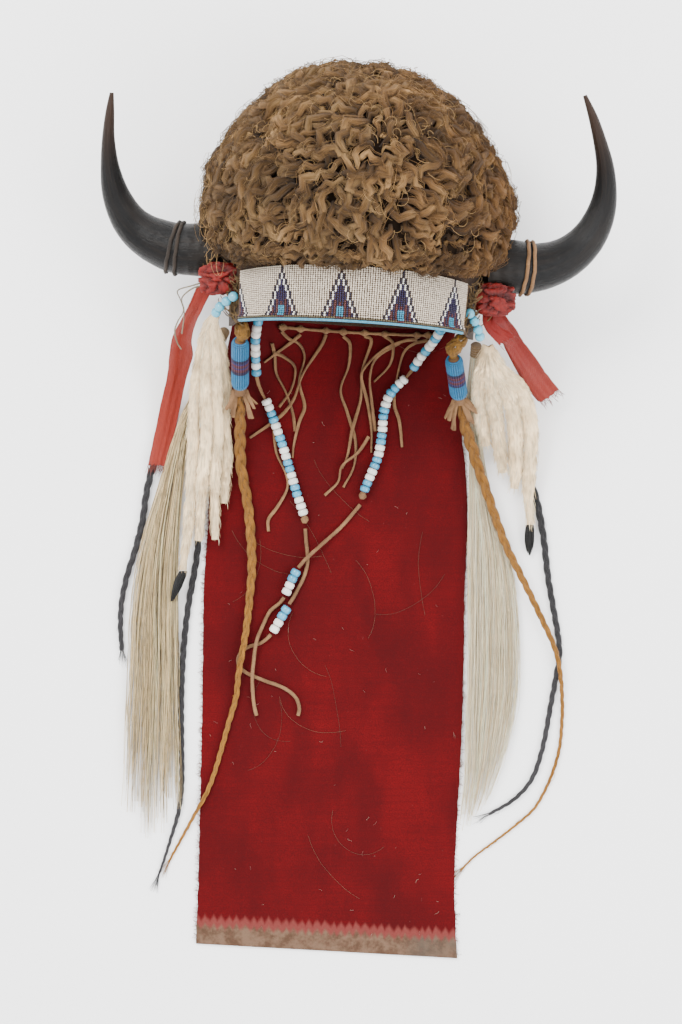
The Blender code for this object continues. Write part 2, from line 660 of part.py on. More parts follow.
def make_horn(name, rows, finish):
    """A horn, and the hidden guide that clears its way through the wool."""
    horn = tube(name, horn_rings(rows, 0.0), finish)
    inward = math.copysign(1, rows[0][0]) * -1
    start = (rows[0][0] + 6 * inward, *rows[0][1:])
    guide = tube("guide_" + name, horn_rings((start, *rows[:5]), 2 * HORN_CLEAR), finish)
    return horn, guide


def make_lacing(name, rows, turns, finish):
    """A thong that winds round a horn's base in slanting turns."""
    step = LACING_PITCH / LACING_STEPS
    axis = smooth_route(scaled(rows[:5]), step)
    first = round(LACING_START / step)
    route = []
    for k in range(round(turns * LACING_STEPS) + 1):
        turn = 2 * math.pi * k / LACING_STEPS
        *at, thick = axis[first + k]
        ahead = axis[first + k + 1][:3]
        along = (Vector(ahead) - Vector(at)).normalized()
        level = along.cross(Vector((0, 0, 1))).normalized()
        rise = level.cross(along)
        wide = thick / 2 + LACING_THICK / 2 + LACING_CLEAR
        tall = wide - thick * (1 - HORN_FLATNESS) / 2
        route.append(Vector(at) + level * math.cos(turn) * wide + rise * math.sin(turn) * tall)
    rings = [
        ring_at(place, direction, LACING_THICK, LACING_THICK, 5)
        for place, direction in zip(route, directions(route))
    ]
    return tube(name, rings, finish)


def make_band(finish):
    """The brow band with a rolled lower edge, on the front of the hide."""
    rings = []
    for k in range(BAND_COLUMNS + 1):
        side = 2 * k / BAND_COLUMNS - 1
        angle = BAND_HALF_ANGLE * side
        low = BAND_BOTTOM - BAND_END_BOTTOM_DROP * side * side
        high = BAND_BOTTOM + BAND_TALL - BAND_END_TOP_DROP * side * side
        skin = BAND_GAP + BAND_THICK
        section = (
            (low, BAND_GAP),
            (high, BAND_GAP),
            (high, skin - BAND_ROLL / 2),
            (high - BAND_ROLL, skin),
            (low + BAND_ROLL_TALL, skin),
            (low + BAND_ROLL_TALL / 2, skin + BAND_ROLL),
            (low - BAND_ROLL / 2, skin + BAND_ROLL / 2),
            (low - BAND_ROLL, skin - BAND_ROLL),
        )
        rings.append([cap_point(angle, up, out) for up, out in section])
    return tube("brow_band", rings, finish, sharp=35)


def cloth_under(row, column):
    """Returns a point of the trailer's underside: row -2 and -1 lie on the hide, the others follow CLOTH_ROWS."""
    angles = [math.radians(a) for a in CLOTH_ANGLES]
    middle = CLOTH_ANGLES.index(5)
    out = CLOTH_GAP + CLOTH_THICK
    if row < 0:
        up = CLOTH_TUCKED if row == -2 else 0.0
        point = cap_point(math.pi - angles[column], up, out)
        point.z -= cap_point(math.pi - angles[middle], up, out).z
        return point
    along, left, right, rise, wave = CLOTH_ROWS[row]
    first, last = angles[0], angles[-1]
    flat = (angles[column] - first) / (last - first)
    bent = (math.sin(angles[column]) - math.sin(first)) / (math.sin(last) - math.sin(first))
    share = flat + (bent - flat) * rise
    rim = cap_point(math.pi - angles[column], 0.0, out).z - cap_point(math.pi - angles[middle], 0.0, out).z
    ripple = 0.5 - 0.5 * math.cos(2 * math.pi * (2.5 * flat + 0.37 * row))
    if column in (middle - 1, middle):
        ripple = 0.0
    slant = CLOTH_END_SLANT * (0.5 - share) if row == len(CLOTH_ROWS) - 1 else 0.0
    return Vector((
        (left + (right - left) * share) * MM * CAP_HALF_WIDTH / TABLE_HALF_WIDTH,
        along * MM + slant,
        max(0.0, rim * rise) + wave * MM * ripple,
    ))


def make_trailer(finish):
    """The trailer, bent up round the rim and flat on the surface beyond it, in soft waves."""
    rows = range(-2, len(CLOTH_ROWS))
    columns = range(len(CLOTH_ANGLES))
    under = [[cloth_under(r, c) for c in columns] for r in rows]
    over = []
    for i, row in enumerate(under):
        line = []
        for j, point in enumerate(row):
            along = under[min(i + 1, len(under) - 1)][j] - under[max(i - 1, 0)][j]
            across = row[min(j + 1, len(row) - 1)] - row[max(j - 1, 0)]
            line.append(point + across.cross(-along).normalized() * CLOTH_THICK)
        over.append(line)
    wide = len(CLOTH_ANGLES)
    points = [p for row in under for p in row] + [p for row in over for p in row]
    start = wide * len(under)
    faces = []
    for i in range(len(under) - 1):
        for j in range(wide - 1):
            a, b = i * wide + j, (i + 1) * wide + j
            faces.append((a, a + 1, b + 1, b))
            faces.append((start + a + 1, start + a, start + b, start + b + 1))
    for j in range(wide - 1):
        a, b = j, (len(under) - 1) * wide + j
        faces.append((a + 1, a, start + a, start + a + 1))
        faces.append((b, b + 1, start + b + 1, start + b))
    for i in range(len(under) - 1):
        a, b = i * wide, (i + 1) * wide
        faces.append((a, b, start + b, start + a))
        a, b = a + wide - 1, b + wide - 1
        faces.append((b, a, start + a, start + b))
    made = add_mesh("trailer", points, faces, finish)
    face_out(made)
    return made


class Ground:
    """The trailer's upper side and the surface round it, on which thongs, strings and braids lie."""

    def __init__(self, trailer):
        mesh = trailer.data
        self.tree = BVHTree.FromPolygons([v.co for v in mesh.vertices], [tuple(p.vertices) for p in mesh.polygons])

    def height(self, x, y, reach):
        """Returns the highest point under a round piece of half width reach."""
        best = 0.0
        for dx, dy in ((0, 0), (1, 0), (-1, 0), (0, 1), (0, -1), (0.7, 0.7), (-0.7, 0.7), (0.7, -0.7), (-0.7, -0.7)):
            spot, _, _, _ = self.tree.ray_cast(Vector((x + dx * reach, y + dy * reach, 1.0)), Vector((0, 0, -1)))
            if spot is not None:
                best = max(best, spot.z)
        return best

    def laid(self, route, spacing, half_thick):
        """Returns a smooth route laid on the ground: each point's lift is above what the piece rests on.

        A route's rows hold x, y, lift and, where the piece tapers, its thickness.
        """
        out = []
        for row in smooth_route(scaled(route), spacing):
            half = row[3] / 2 if len(row) > 3 else half_thick
            height = self.height(row[0], row[1], half) + half + TOUCH_GAP + max(row[2], 0.0)
            out.append([row[0], row[1], height, *row[3:]])
        for _ in range(2):
            heights = [row[2] for row in out]
            for i in range(1, len(out) - 1):
                out[i][2] = max(heights[i], (heights[i - 1] + heights[i + 1]) / 2)
        return out


def make_cord(name, route, thick, finish):
    """A cord: a curve through the points of a route, thinner where the route says so."""
    curve = bpy.data.curves.new(name, "CURVE")
    curve.dimensions = "3D"
    curve.bevel_depth = thick / 2
    curve.bevel_resolution = 2
    curve.use_fill_caps = True
    line = curve.splines.new("POLY")
    line.points.add(len(route) - 1)
    for point, row in zip(line.points, route):
        point.co = (*row[:3], 1.0)
        point.radius = row[3] / thick if len(row) > 3 else 1.0
    return add_object(name, curve, finish)


def bead_profile(long, wide):
    """Returns a bead's rings: share along it, thickness. The next bead's first ring closes it."""
    return ((0.0, wide * BEAD_NECK), (BEAD_EDGE * long, wide), ((1 - BEAD_EDGE) * long, wide))


def string_profile(runs, wide):
    """Returns the places and thicknesses of a string's rings, from its top."""
    rings = []
    at = 0.0
    for kind, amount, long in runs:
        if kind == "beads":
            for _ in range(amount):
                rings += [(at + along, thick) for along, thick in bead_profile(long, wide)]
                at += long
        elif kind == "bare":
            rings.append((at, THONG_WIDE))
            at += amount * MM
            rings.append((at - THONG_WIDE / 2, THONG_WIDE))
        else:
            rings += [(at, THONG_WIDE), (at + 0.3 * KNOT_WIDE, KNOT_WIDE), (at + 0.7 * KNOT_WIDE, KNOT_WIDE)]
            at += KNOT_WIDE
    rings.append((at, THONG_WIDE))
    return rings


def make_string(name, route, profile, finish, sides=BEAD_SIDES):
    """A swept string: rings of the profile's thicknesses along a fine route."""
    along = [0.0]
    for a, b in zip(route, route[1:]):
        along.append(along[-1] + math.dist(a[:3], b[:3]))
    scale = along[-1] / profile[-1][0]
    places = []
    k = 0
    for at, _ in profile:
        while k < len(along) - 2 and along[k + 1] < at * scale:
            k += 1
        share = min(1.0, (at * scale - along[k]) / max(along[k + 1] - along[k], 1e-9))
        places.append(Vector(route[k][:3]).lerp(Vector(route[k + 1][:3]), share))
    rings = [
        ring_at(place, direction, thick, thick, sides)
        for place, direction, (_, thick) in zip(places, directions(places), profile)
    ]
    return tube(name, rings, finish, sharp=40)


def make_rim_lacing(ground, finish):
    """The thong along the rim that laces the trailer on, with a knot at the root of each tie."""
    route = []
    profile = []
    for i, x in enumerate(RIM_KNOTS):
        half = KNOT_WIDE / 2 / MM
        spots = [(x - half, THONG_WIDE), (x - half / 2, KNOT_WIDE * 0.8), (x + half / 2, KNOT_WIDE * 0.8), (x + half, THONG_WIDE)]
        if i:
            spots[0] = (max(spots[0][0], RIM_KNOTS[i - 1] + half + 0.3), THONG_WIDE)
        for at, thick in spots:
            profile.append(thick)
            y = at * MM * math.tan(CAP_TURN) - RIM_LACING_OFF
            height = ground.height(at * MM, y, KNOT_WIDE * 0.45) + KNOT_WIDE * 0.4 + TOUCH_GAP
            route.append(Vector((at * MM, y, height)))
    rings = [
        ring_at(place, direction, thick, thick, 5) for place, direction, thick in zip(route, directions(route), profile)
    ]
    return tube("rim_lacing", rings, finish)


def make_sleeve(name, ends, finish):
    """A beaded sleeve round a bundle of thongs."""
    start, end = (placed(p) for p in ends)
    shares = ((0.0, 0.80), (0.06, 1.0), (0.5, 1.03), (0.94, 1.0), (1.0, 0.80))
    route = [start.lerp(end, share) for share, _ in shares]
    widths = [SLEEVE_WIDE * wide for _, wide in shares]
    return strip(name, route, widths, widths, finish, sides=12)


def make_sleeve_knot(name, route, finish):
    """The wound knot above a sleeve."""
    places = [placed(p) for p in route]
    route = [places[0], places[0].lerp(places[1], 0.5), places[1], places[1].lerp(places[2], 0.6), places[2]]
    widths = [SLEEVE_KNOT_WIDE * share for share in (0.55, 1.0, 0.8, 1.05, 0.6)]
    return strip(name, route, widths, widths, finish, sides=8)


def make_fringe(name, sleeve, ends, finish):
    """Thong strips that fan out of a sleeve's lower end, on one short head."""
    top, bottom = (placed(p) for p in sleeve)
    along = (bottom - top).normalized()
    start = bottom + along * TOUCH_GAP
    wide = 0.75 * SLEEVE_WIDE
    head = strip(name, [start, start + along * FRINGE_HEAD_LONG], [wide, wide], [wide, wide], finish, sides=8)
    strips = []
    for k, end in enumerate(ends):
        tip = placed(end)
        beside, above = FRINGE_ROOTS[k]
        offset = Vector((beside, 0, above)) * MM
        root = start + along * (FRINGE_HEAD_LONG / 2 - offset.dot(along)) + offset
        knee = root.lerp(tip, 0.55) + Vector((0, 0, FRINGE_WIDE / 3))
        route = [root, knee, tip]
        strips.append(strip(f"guide_{name}_{k}", route, [FRINGE_WIDE] * 3, [FRINGE_THICK] * 3, finish, sides=4))
    unite(head, strips)
    return head


def make_ermine(name, head_at, routes, finish):
    """Strips of ermine that leave one head and taper to their ends."""
    head = lump(name, placed(head_at), (0.0085, 0.0080, 0.0070), finish, columns=8, rows=4)
    strips = []
    for k, route in enumerate(routes):
        root = [centre + 0.6 * (place - centre) for centre, place in zip(head_at, route[0])]
        places = smooth_route(scaled((root, *route)), ERMINE_STEP)
        last = len(places) - 1
        shares = [i / last for i in range(last + 1)]
        ends = [max(0.0, share - 0.8) / 0.2 for share in shares]
        widths = [ERMINE_WIDE * (0.72 + 0.28 * min(1.0, 2.5 * share) - 0.45 * end) for share, end in zip(shares, ends)]
        thicks = [ERMINE_THICK * (1 - 0.4 * end) for end in ends]
        strips.append(strip(f"guide_{name}_{k}", places, widths, thicks, finish, sides=5))
    unite(head, strips)
    return head


def make_tip(name, rows, finish):
    """A black tail tip."""
    rows = scaled(rows)
    widths = [row[3] for row in rows]
    return strip(name, rows, widths, [0.8 * wide for wide in widths], finish, sides=6)


def make_hair(name, head_at, routes, finish):
    """A drop of horsehair: locks that share one bound head and spread on the surface."""
    head = lump(name, placed(head_at), (0.0046, 0.0078, 0.0078), finish, columns=6, rows=4)
    locks = []
    for k, route in enumerate(routes):
        root = [centre + 0.5 * (place - centre) for centre, place in zip(head_at, route[0])]
        rows = scaled(((*root, route[0][3]), *route))
        widths = [row[3] for row in rows]
        thicks = [min(HAIR_THICK, max(0.0035, 1.2 * wide)) for wide in widths]
        thicks[-1] = 0.0024
        if k:
            rows = [[row[0] + k * 0.0006, row[1], row[2] - k * 0.0004, row[3]] for row in rows]
        locks.append(strip(f"guide_{name}_{k}", rows, widths, thicks, finish, sides=5))
    unite(head, locks)
    return head


def make_ribbon(name, rows, finish):
    """A silk ribbon tail: a thin strip through rows of left and right edges, with one soft fold along it."""
    rings = []
    middles = [(placed(a) + placed(b)) / 2 for a, b in rows]
    for (a, b), along in zip(rows, directions(middles)):
        left, right = placed(a), placed(b)
        across = right - left
        square = across.cross(along).normalized()
        if square.z < 0:
            square.negate()
        fold = square * across.length * 0.12
        upper = [left, left.lerp(right, 0.33) + fold, left.lerp(right, 0.67) - fold * 0.3, right]
        lower = [point - square * SILK_THICK for point in reversed(upper)]
        rings.append(upper + lower)
    return tube(name, rings, finish, sharp=60)


def make_rosette(name, centre, finish):
    """A bunched silk knot: a disc with pleats round its edge."""
    columns = 2 * ROSETTE_PLEATS
    points = []
    levels = ((-1.0, 0.45), (-0.35, 0.95), (0.45, 1.0), (1.0, 0.40))
    for height, share in levels:
        for i in range(columns):
            turn = 2 * math.pi * i / columns
            pleat = 1 - ROSETTE_PLEAT_DEEP * (i % 2) * (share > 0.5)
            points.append(placed(centre) + Vector((
                ROSETTE_SIZE[0] * share * pleat * math.cos(turn),
                ROSETTE_SIZE[1] * share * pleat * math.sin(turn),
                ROSETTE_SIZE[2] * height * (1 - 0.3 * (i % 2) * (share > 0.5)),
            )))
    rings = [points[k * columns : (k + 1) * columns] for k in range(len(levels))]
    return tube(name, rings, finish)


def make_bead_loop(name, route, finish):
    """A short loop of round beads at a temple."""
    fine = smooth_route(scaled(route), 0.002)
    length = sum(math.dist(a, b) for a, b in zip(fine, fine[1:]))
    long = length / (len(route) - 1)
    first, last = directions(fine)[0], directions(fine)[-1]
    fine = [list(Vector(fine[0]) - first * long / 2), *fine, list(Vector(fine[-1]) + last * long / 2)]
    rings = []
    for k in range(len(route)):
        rings += [(k * long, LOOP_BEAD_WIDE * 0.5), ((k + 0.27) * long, LOOP_BEAD_WIDE), ((k + 0.73) * long, LOOP_BEAD_WIDE)]
    rings.append((len(route) * long, LOOP_BEAD_WIDE * 0.5))
    return make_string(name, fine, rings, finish)


def main():
    """Builds the bonnet."""
    for old in list(bpy.data.objects):
        bpy.data.objects.remove(old, do_unlink=True)
    hide = material("hide", (0.16, 0.09, 0.045), 0.85)
    wool = material("wool", (0.21, 0.13, 0.075), 0.95)
    horn = material("horn", (0.012, 0.010, 0.010), 0.22)
    beadwork = material("beadwork", (0.75, 0.73, 0.66), 0.3)
    cloth = material("red_cloth", (0.24, 0.008, 0.012), 0.9)
    thong = material("thong", (0.27, 0.16, 0.08), 0.8)
    blue = material("blue_bead", (0.15, 0.52, 0.72), 0.25)
    white = material("white_bead", (0.8, 0.79, 0.74), 0.25)
    yellow = material("yellow_hair", (0.48, 0.27, 0.035), 0.5)
    black = material("black_hair", (0.014, 0.013, 0.015), 0.4)
    pale = material("pale_hair", (0.62, 0.53, 0.38), 0.5)
    fur = material("ermine", (0.82, 0.76, 0.64), 0.9)
    silk = material("red_silk", (0.55, 0.05, 0.03), 0.45)

    make_hide(hide)
    guides = []
    for name, rows in (("horn_left", HORN_LEFT), ("horn_right", HORN_RIGHT)):
        _, guide = make_horn(name, rows, horn)
        guides.append(guide)
    make_wool(wool, guides)
    make_band(beadwork)
    ground = Ground(make_trailer(cloth))
    make_rim_lacing(ground, thong)
    strings = (
        ("bead_string_left", STRING_LEFT, STRING_LEFT_RUNS),
        ("bead_string_right", STRING_RIGHT, STRING_RIGHT_RUNS),
        ("bead_group_left", GROUP_LEFT, (("beads", 4, BEAD_LONG),)),
        ("bead_group_right", GROUP_RIGHT, (("beads", 4, BEAD_LONG),)),
    )
    for name, route, runs in strings:
        make_string(name, ground.laid(route, 0.004, BEAD_WIDE / 2), string_profile(runs, BEAD_WIDE), blue)
    thongs = (
        ("chin_thong_left_upper", THONG_LEFT_UPPER),
        ("chin_thong_left_end", THONG_LEFT_END),
        ("chin_thong_right_upper", THONG_RIGHT_UPPER),
        ("chin_thong_right_end", THONG_RIGHT_END),
    )
    for name, route in thongs:
        make_cord(name, ground.laid(route, CORD_STEPS * THONG_WIDE, THONG_WIDE / 2), THONG_WIDE, thong)
    braids = (
        ("braid_yellow_left", BRAID_YELLOW_LEFT, 0.006, yellow),
        ("braid_yellow_right", BRAID_YELLOW_RIGHT, 0.006, yellow),
        ("braid_black_outer", BRAID_BLACK_OUTER, 0.005, black),
        ("braid_black_inner", BRAID_BLACK_INNER, 0.005, black),
        ("braid_black_right", BRAID_BLACK_RIGHT, 0.005, black),
    )
    for name, route, thick, finish in braids:
        make_cord(name, ground.laid(route, CORD_STEPS * thick, thick / 2), thick, finish)
    make_bead_loop("bead_loop_left", LOOP_LEFT, blue)
    make_bead_loop("bead_loop_right", LOOP_RIGHT, blue)
    make_sleeve("bead_sleeve_left", SLEEVE_LEFT, white)
    make_sleeve("bead_sleeve_right", SLEEVE_RIGHT, white)
    make_sleeve_knot("sleeve_knot_left", SLEEVE_KNOT_LEFT, yellow)
    make_sleeve_knot("sleeve_knot_right", SLEEVE_KNOT_RIGHT, yellow)
    make_fringe("sleeve_fringe_left", SLEEVE_LEFT, FRINGE_LEFT_ENDS, thong)
    make_fringe("sleeve_fringe_right", SLEEVE_RIGHT, FRINGE_RIGHT_ENDS, thong)
    make_ermine("ermine_left", ERMINE_LEFT_HEAD, ERMINE_LEFT, fur)
    make_ermine("ermine_right", ERMINE_RIGHT_HEAD, ERMINE_RIGHT, fur)
    make_tip("ermine_tip_left", ERMINE_TIP_LEFT, black)
    make_tip("ermine_tip_right", ERMINE_TIP_RIGHT, black)
    make_hair("hair_drop_left", HAIR_LEFT_HEAD, HAIR_LEFT, pale)
    make_hair("hair_drop_right", HAIR_RIGHT_HEAD, HAIR_RIGHT, pale)
    make_ribbon("ribbon_tail_left", RIBBON_LEFT, silk)
    make_ribbon("ribbon_tail_right", RIBBON_RIGHT, silk)
    make_ribbon("ribbon_end_right", RIBBON_END_RIGHT, silk)
    make_rosette("ribbon_knot_left", ROSETTE_LEFT, silk)
    make_rosette("ribbon_knot_right", ROSETTE_RIGHT, silk)
    make_lacing("horn_lacing_left", HORN_LEFT, LACING_TURNS, thong)
    make_lacing("horn_lacing_right", HORN_RIGHT, LACING_TURNS, thong)


main()
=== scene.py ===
"""A buffalo-horn war bonnet lying on its back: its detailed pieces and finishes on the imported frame."""

import logging
import math
import random
from collections.abc import Sequence
from dataclasses import dataclass
from enum import Enum

import bmesh
import bpy
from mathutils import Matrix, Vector
from mathutils import noise as field
from mathutils.bvhtree import BVHTree
from mathutils.kdtree import KDTree


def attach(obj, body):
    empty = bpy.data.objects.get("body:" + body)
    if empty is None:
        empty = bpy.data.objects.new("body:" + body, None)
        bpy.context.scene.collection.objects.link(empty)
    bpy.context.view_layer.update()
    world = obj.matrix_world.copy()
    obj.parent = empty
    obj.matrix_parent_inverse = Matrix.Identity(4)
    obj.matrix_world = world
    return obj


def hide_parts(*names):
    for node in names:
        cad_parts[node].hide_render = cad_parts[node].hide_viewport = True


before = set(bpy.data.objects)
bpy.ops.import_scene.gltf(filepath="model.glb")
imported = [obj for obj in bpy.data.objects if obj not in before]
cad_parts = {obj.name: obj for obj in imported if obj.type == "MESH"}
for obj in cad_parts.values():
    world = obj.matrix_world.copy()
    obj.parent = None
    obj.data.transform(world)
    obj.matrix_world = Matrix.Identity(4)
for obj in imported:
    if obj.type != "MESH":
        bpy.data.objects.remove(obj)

LOG = logging.getLogger("bonnet")
BODY = "root"
MM = 0.001
TOUCH_GAP = 0.0004
WOOL_CLEAR = 0.0006
HAIR_CLEAR = 0.0005
FINE_CLEAR = 0.0004
UP = Vector((0.0, 0.0, 1.0))
DOWN = Vector((0.0, 0.0, -1.0))
Route = list[list[float]]
Rows = Sequence[Sequence[float]]
Colour = tuple[float, float, float]
Material = bpy.types.Material
Mesh = bpy.types.Mesh
Node = bpy.types.Node
Object = bpy.types.Object
Socket = bpy.types.NodeSocket
Tree = bpy.types.NodeTree
PLAIN: Colour = (1.0, 1.0, 1.0)


# Shapes shared by several pieces.
def smooth_route(points: Rows, spacing: float) -> Route:
    """Resamples a route on one smooth curve.

    Args:
        points: rows whose first three numbers are a place; any further numbers are carried along.
        spacing: the distance between the new rows, in metres.

    Returns:
        The new rows, both ends included.
    """
    before_first = [2 * a - b for a, b in zip(points[0], points[1])]
    after_last = [2 * a - b for a, b in zip(points[-1], points[-2])]
    spread = [before_first, *points, after_last]
    fine = []
    steps = 12
    for i in range(1, len(spread) - 2):
        before, start, end, after = spread[i - 1 : i + 3]
        for k in range(steps):
            t = k / steps
            fine.append([
                0.5 * (2 * b + (c - a) * t + (2 * a - 5 * b + 4 * c - d) * t * t
                       + (3 * b - a - 3 * c + d) * t ** 3)
                for a, b, c, d in zip(before, start, end, after)
            ])
    fine.append(list(points[-1]))
    along = [0.0]
    for a, b in zip(fine, fine[1:]):
        along.append(along[-1] + math.dist(a[:3], b[:3]))
    count = max(2, round(along[-1] / spacing) + 1)
    out = []
    k = 0
    for i in range(count):
        target = along[-1] * i / (count - 1)
        while k < len(along) - 2 and along[k + 1] < target:
            k += 1
        share = (target - along[k]) / max(along[k + 1] - along[k], 1e-9)
        out.append([a + (b - a) * share for a, b in zip(fine[k], fine[k + 1])])
    return out


def scaled(route: Rows) -> Route:
    """Turns a table's millimetres into metres.

    Args:
        route: rows of millimetres.

    Returns:
        The same rows in metres.
    """
    return [[value * MM for value in row] for row in route]


def route_length(route: Rows) -> float:
    """Measures a route.

    Args:
        route: rows whose first three numbers are a place.

    Returns:
        Its length in metres.
    """
    return sum(math.dist(a[:3], b[:3]) for a, b in zip(route, route[1:]))


def between(table: Rows, at: float) -> float:
    """Reads a table of (place, value) rows with straight lines between them.

    Args:
        table: rows in rising order of place.
        at: the place to read.

    Returns:
        The value there.
    """
    for (low, first), (high, second) in zip(table, table[1:]):
        if at <= high:
            return first + (second - first) * max(0.0, at - low) / (high - low)
    return table[-1][1]


def mixed(first: Colour, second: Colour, share: float) -> Colour:
    """Mixes two colours.

    Args:
        first: the colour at share 0.
        second: the colour at share 1.
        share: how far to go from the first to the second.

    Returns:
        The mixed colour.
    """
    return tuple(a + (b - a) * share for a, b in zip(first, second))


def shaded(colour: Colour, share: float) -> Colour:
    """Makes a colour lighter or darker.

    Args:
        colour: the colour.
        share: the factor of its brightness.

    Returns:
        The new colour.
    """
    return tuple(max(0.0, min(1.0, value * share)) for value in colour)


def heading(places: Sequence[Vector], k: int) -> Vector:
    """Gives the direction of a line of points at point k."""
    return (places[min(k + 1, len(places) - 1)] - places[max(k - 1, 0)]).normalized()


def square_pair(ahead: Vector) -> tuple[Vector, Vector]:
    """Gives the level direction across a way, and the one square to both."""
    across = ahead.cross(UP).normalized()
    return across, across.cross(ahead)


def surface(mesh: Mesh) -> BVHTree:
    """Makes a search tree of a mesh's faces."""
    return BVHTree.FromPolygons([v.co for v in mesh.vertices], [tuple(p.vertices) for p in mesh.polygons])


@dataclass(frozen=True)
class CapForm:
    """The form of the cap: a dome on an oval rim, turned a little on the surface."""

    half_width: float = 0.092
    half_depth: float = 0.081
    tall: float = 0.152
    middle_x: float = 0.001
    turn: float = math.radians(-3.3)
    fullness: float = 2.6
    lift: float = 0.016
    tuck: float = 0.035
    ear_drop: float = 0.010
    ear_angle: float = math.radians(85)
    ear_spread: float = math.radians(30)
    cloth: float = 0.0025
    wool_gap: float = 0.0007
    wool_deep: float = 0.035
    wool_crown_deep: float = 0.028
    wool_edge_deep: float = 0.013

    def share(self, up: float) -> tuple[float, float]:
        """Reads the dome's outline.

        Args:
            up: the height above the rim.

        Returns:
            The share of the full half width there, and how it changes with height.
        """
        u = min(max(up / self.tall, 0.0), 0.9999)
        n = self.fullness
        dome = (1 - u ** n) ** (1 / n)
        dome_slope = -(u ** (n - 1)) * (1 - u ** n) ** (1 / n - 1) / self.tall
        tuck = 1 - self.tuck * (1 - u) ** 4
        tuck_slope = 4 * self.tuck * (1 - u) ** 3 / self.tall
        return dome * tuck, dome_slope * tuck + dome * tuck_slope

    def turned(self, point: Sequence[float]) -> Vector:
        """Turns a point of the cap's own frame into the model's frame.

        Args:
            point: three numbers in metres.

        Returns:
            The turned point.
        """
        x, y, z = point
        return Vector((
            x * math.cos(self.turn) - y * math.sin(self.turn),
            x * math.sin(self.turn) + y * math.cos(self.turn),
            z,
        ))

    def axis_height(self) -> float:
        """Gives the height of the cap's axis at the rim.

        Returns:
            The height in metres.
        """
        return (self.half_depth * self.share(0.0)[0] + self.cloth) * math.cos(math.radians(5))

    def point(self, angle: float, up: float, out: float) -> Vector:
        """Gives a point of the cap.

        Args:
            angle: from the front of the cap towards +X.
            up: the height above the rim.
            out: the distance outside the hide, square to it.

        Returns:
            The point.
        """
        share, slope = self.share(up)
        lean = self.lift / self.tall
        across, front = math.sin(angle), math.cos(angle)
        place = Vector((
            self.middle_x + self.half_width * share * across,
            up,
            self.axis_height() + lean * up + self.half_depth * share * front,
        ))
        square = Vector((
            self.half_depth * across,
            -self.half_width * self.half_depth * slope - self.half_width * lean * front,
            self.half_width * front,
        )).normalized()
        return self.turned(place + square * out)

    def top(self, out: float) -> Vector:
        """Gives the middle of the crown.

        Args:
            out: the distance outside the hide.

        Returns:
            The point.
        """
        return self.turned((self.middle_x, self.tall + out, self.axis_height() + self.lift))

    def rim(self, angle: float) -> float:
        """Gives the height of the hide's edge, which drops at the ears.

        Args:
            angle: from the front of the cap towards +X.

        Returns:
            The height in metres, below zero at the ears.
        """
        off = (abs(angle) - self.ear_angle) / self.ear_spread
        return -self.ear_drop * math.exp(-off * off)

    def wool_edge(self, angle: float) -> float:
        """Gives the height of the wool's lower edge.

        Args:
            angle: from the front of the cap towards +X.

        Returns:
            The height above the rim in metres.
        """
        edge = ((0, 36), (50, 35), (62, 38), (78, 43), (92, 40), (108, 28), (125, 18), (150, 14), (180, 14))
        return between(edge, math.degrees(abs(angle))) * MM

    def wool_up(self, angle: float, share: float) -> float:
        """Gives the height of a place on the wool.

        Args:
            angle: from the front of the cap towards +X.
            share: from the wool's edge at 0 to the crown at 1.

        Returns:
            The height above the rim in metres.
        """
        low = math.asin((self.wool_edge(angle) / self.tall) ** (self.fullness / 2))
        return self.tall * math.sin(low + (math.pi / 2 - low) * share) ** (2 / self.fullness)

    def wool_point(self, angle: float, share: float, fill: float) -> Vector:
        """Gives a place in the wool.

        Args:
            angle: from the front of the cap towards +X.
            share: from the wool's edge at 0 to the crown at 1.
            fill: 0 on the hide, 1 on the outside of the wool.

        Returns:
            The point, kept off the surface that the bonnet lies on.
        """
        grown = min(1.0, (share * 11 / 3.2) ** 0.7)
        full = self.wool_deep + (self.wool_crown_deep - self.wool_deep) * share * share
        deep = self.wool_edge_deep + (full - self.wool_edge_deep) * grown
        point = self.point(angle, self.wool_up(angle, share), self.wool_gap + deep * fill)
        point.z = max(point.z, WOOL_CLEAR)
        return point


CAP = CapForm()


class Ground:
    """The trailer's upper side and the surface round it, on which thongs, strings and braids lie."""

    def __init__(self, trailer: Object) -> None:
        """Reads the trailer's mesh.

        Args:
            trailer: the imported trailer.
        """
        self.tree = surface(trailer.data)

    def height(self, x: float, y: float, reach: float) -> float:
        """Finds the highest point under a round piece.

        Args:
            x: its place along X.
            y: its place along Y.
            reach: its half width.

        Returns:
            The height in metres.
        """
        best = 0.0
        straight = ((0, 0), (1, 0), (-1, 0), (0, 1), (0, -1))
        slanting = ((0.7, 0.7), (-0.7, 0.7), (0.7, -0.7), (-0.7, -0.7))
        for dx, dy in straight + slanting:
            spot, _, _, _ = self.tree.ray_cast(Vector((x + dx * reach, y + dy * reach, 1.0)), DOWN)
            if spot is not None:
                best = max(best, spot.z)
        return best

    def laid(self, route: Rows, spacing: float, half_thick: float) -> Route:
        """Lays a route on the ground.

        Args:
            route: rows of x, y, lift and, where the piece tapers, thickness, in millimetres.
            spacing: the distance between the new rows, in metres.
            half_thick: half the piece's thickness where its rows don't say it.

        Returns:
            Rows of x, y, z and any thickness, in metres.
        """
        out = []
        for row in smooth_route(scaled(route), spacing):
            half = row[3] / 2 if len(row) > 3 else half_thick
            height = self.height(row[0], row[1], half) + half + TOUCH_GAP + max(row[2], 0.0)
            out.append([row[0], row[1], height, *row[3:]])
        for _ in range(2):
            heights = [row[2] for row in out]
            for i in range(1, len(out) - 1):
                out[i][2] = max(heights[i], (heights[i - 1] + heights[i + 1]) / 2)
        return out


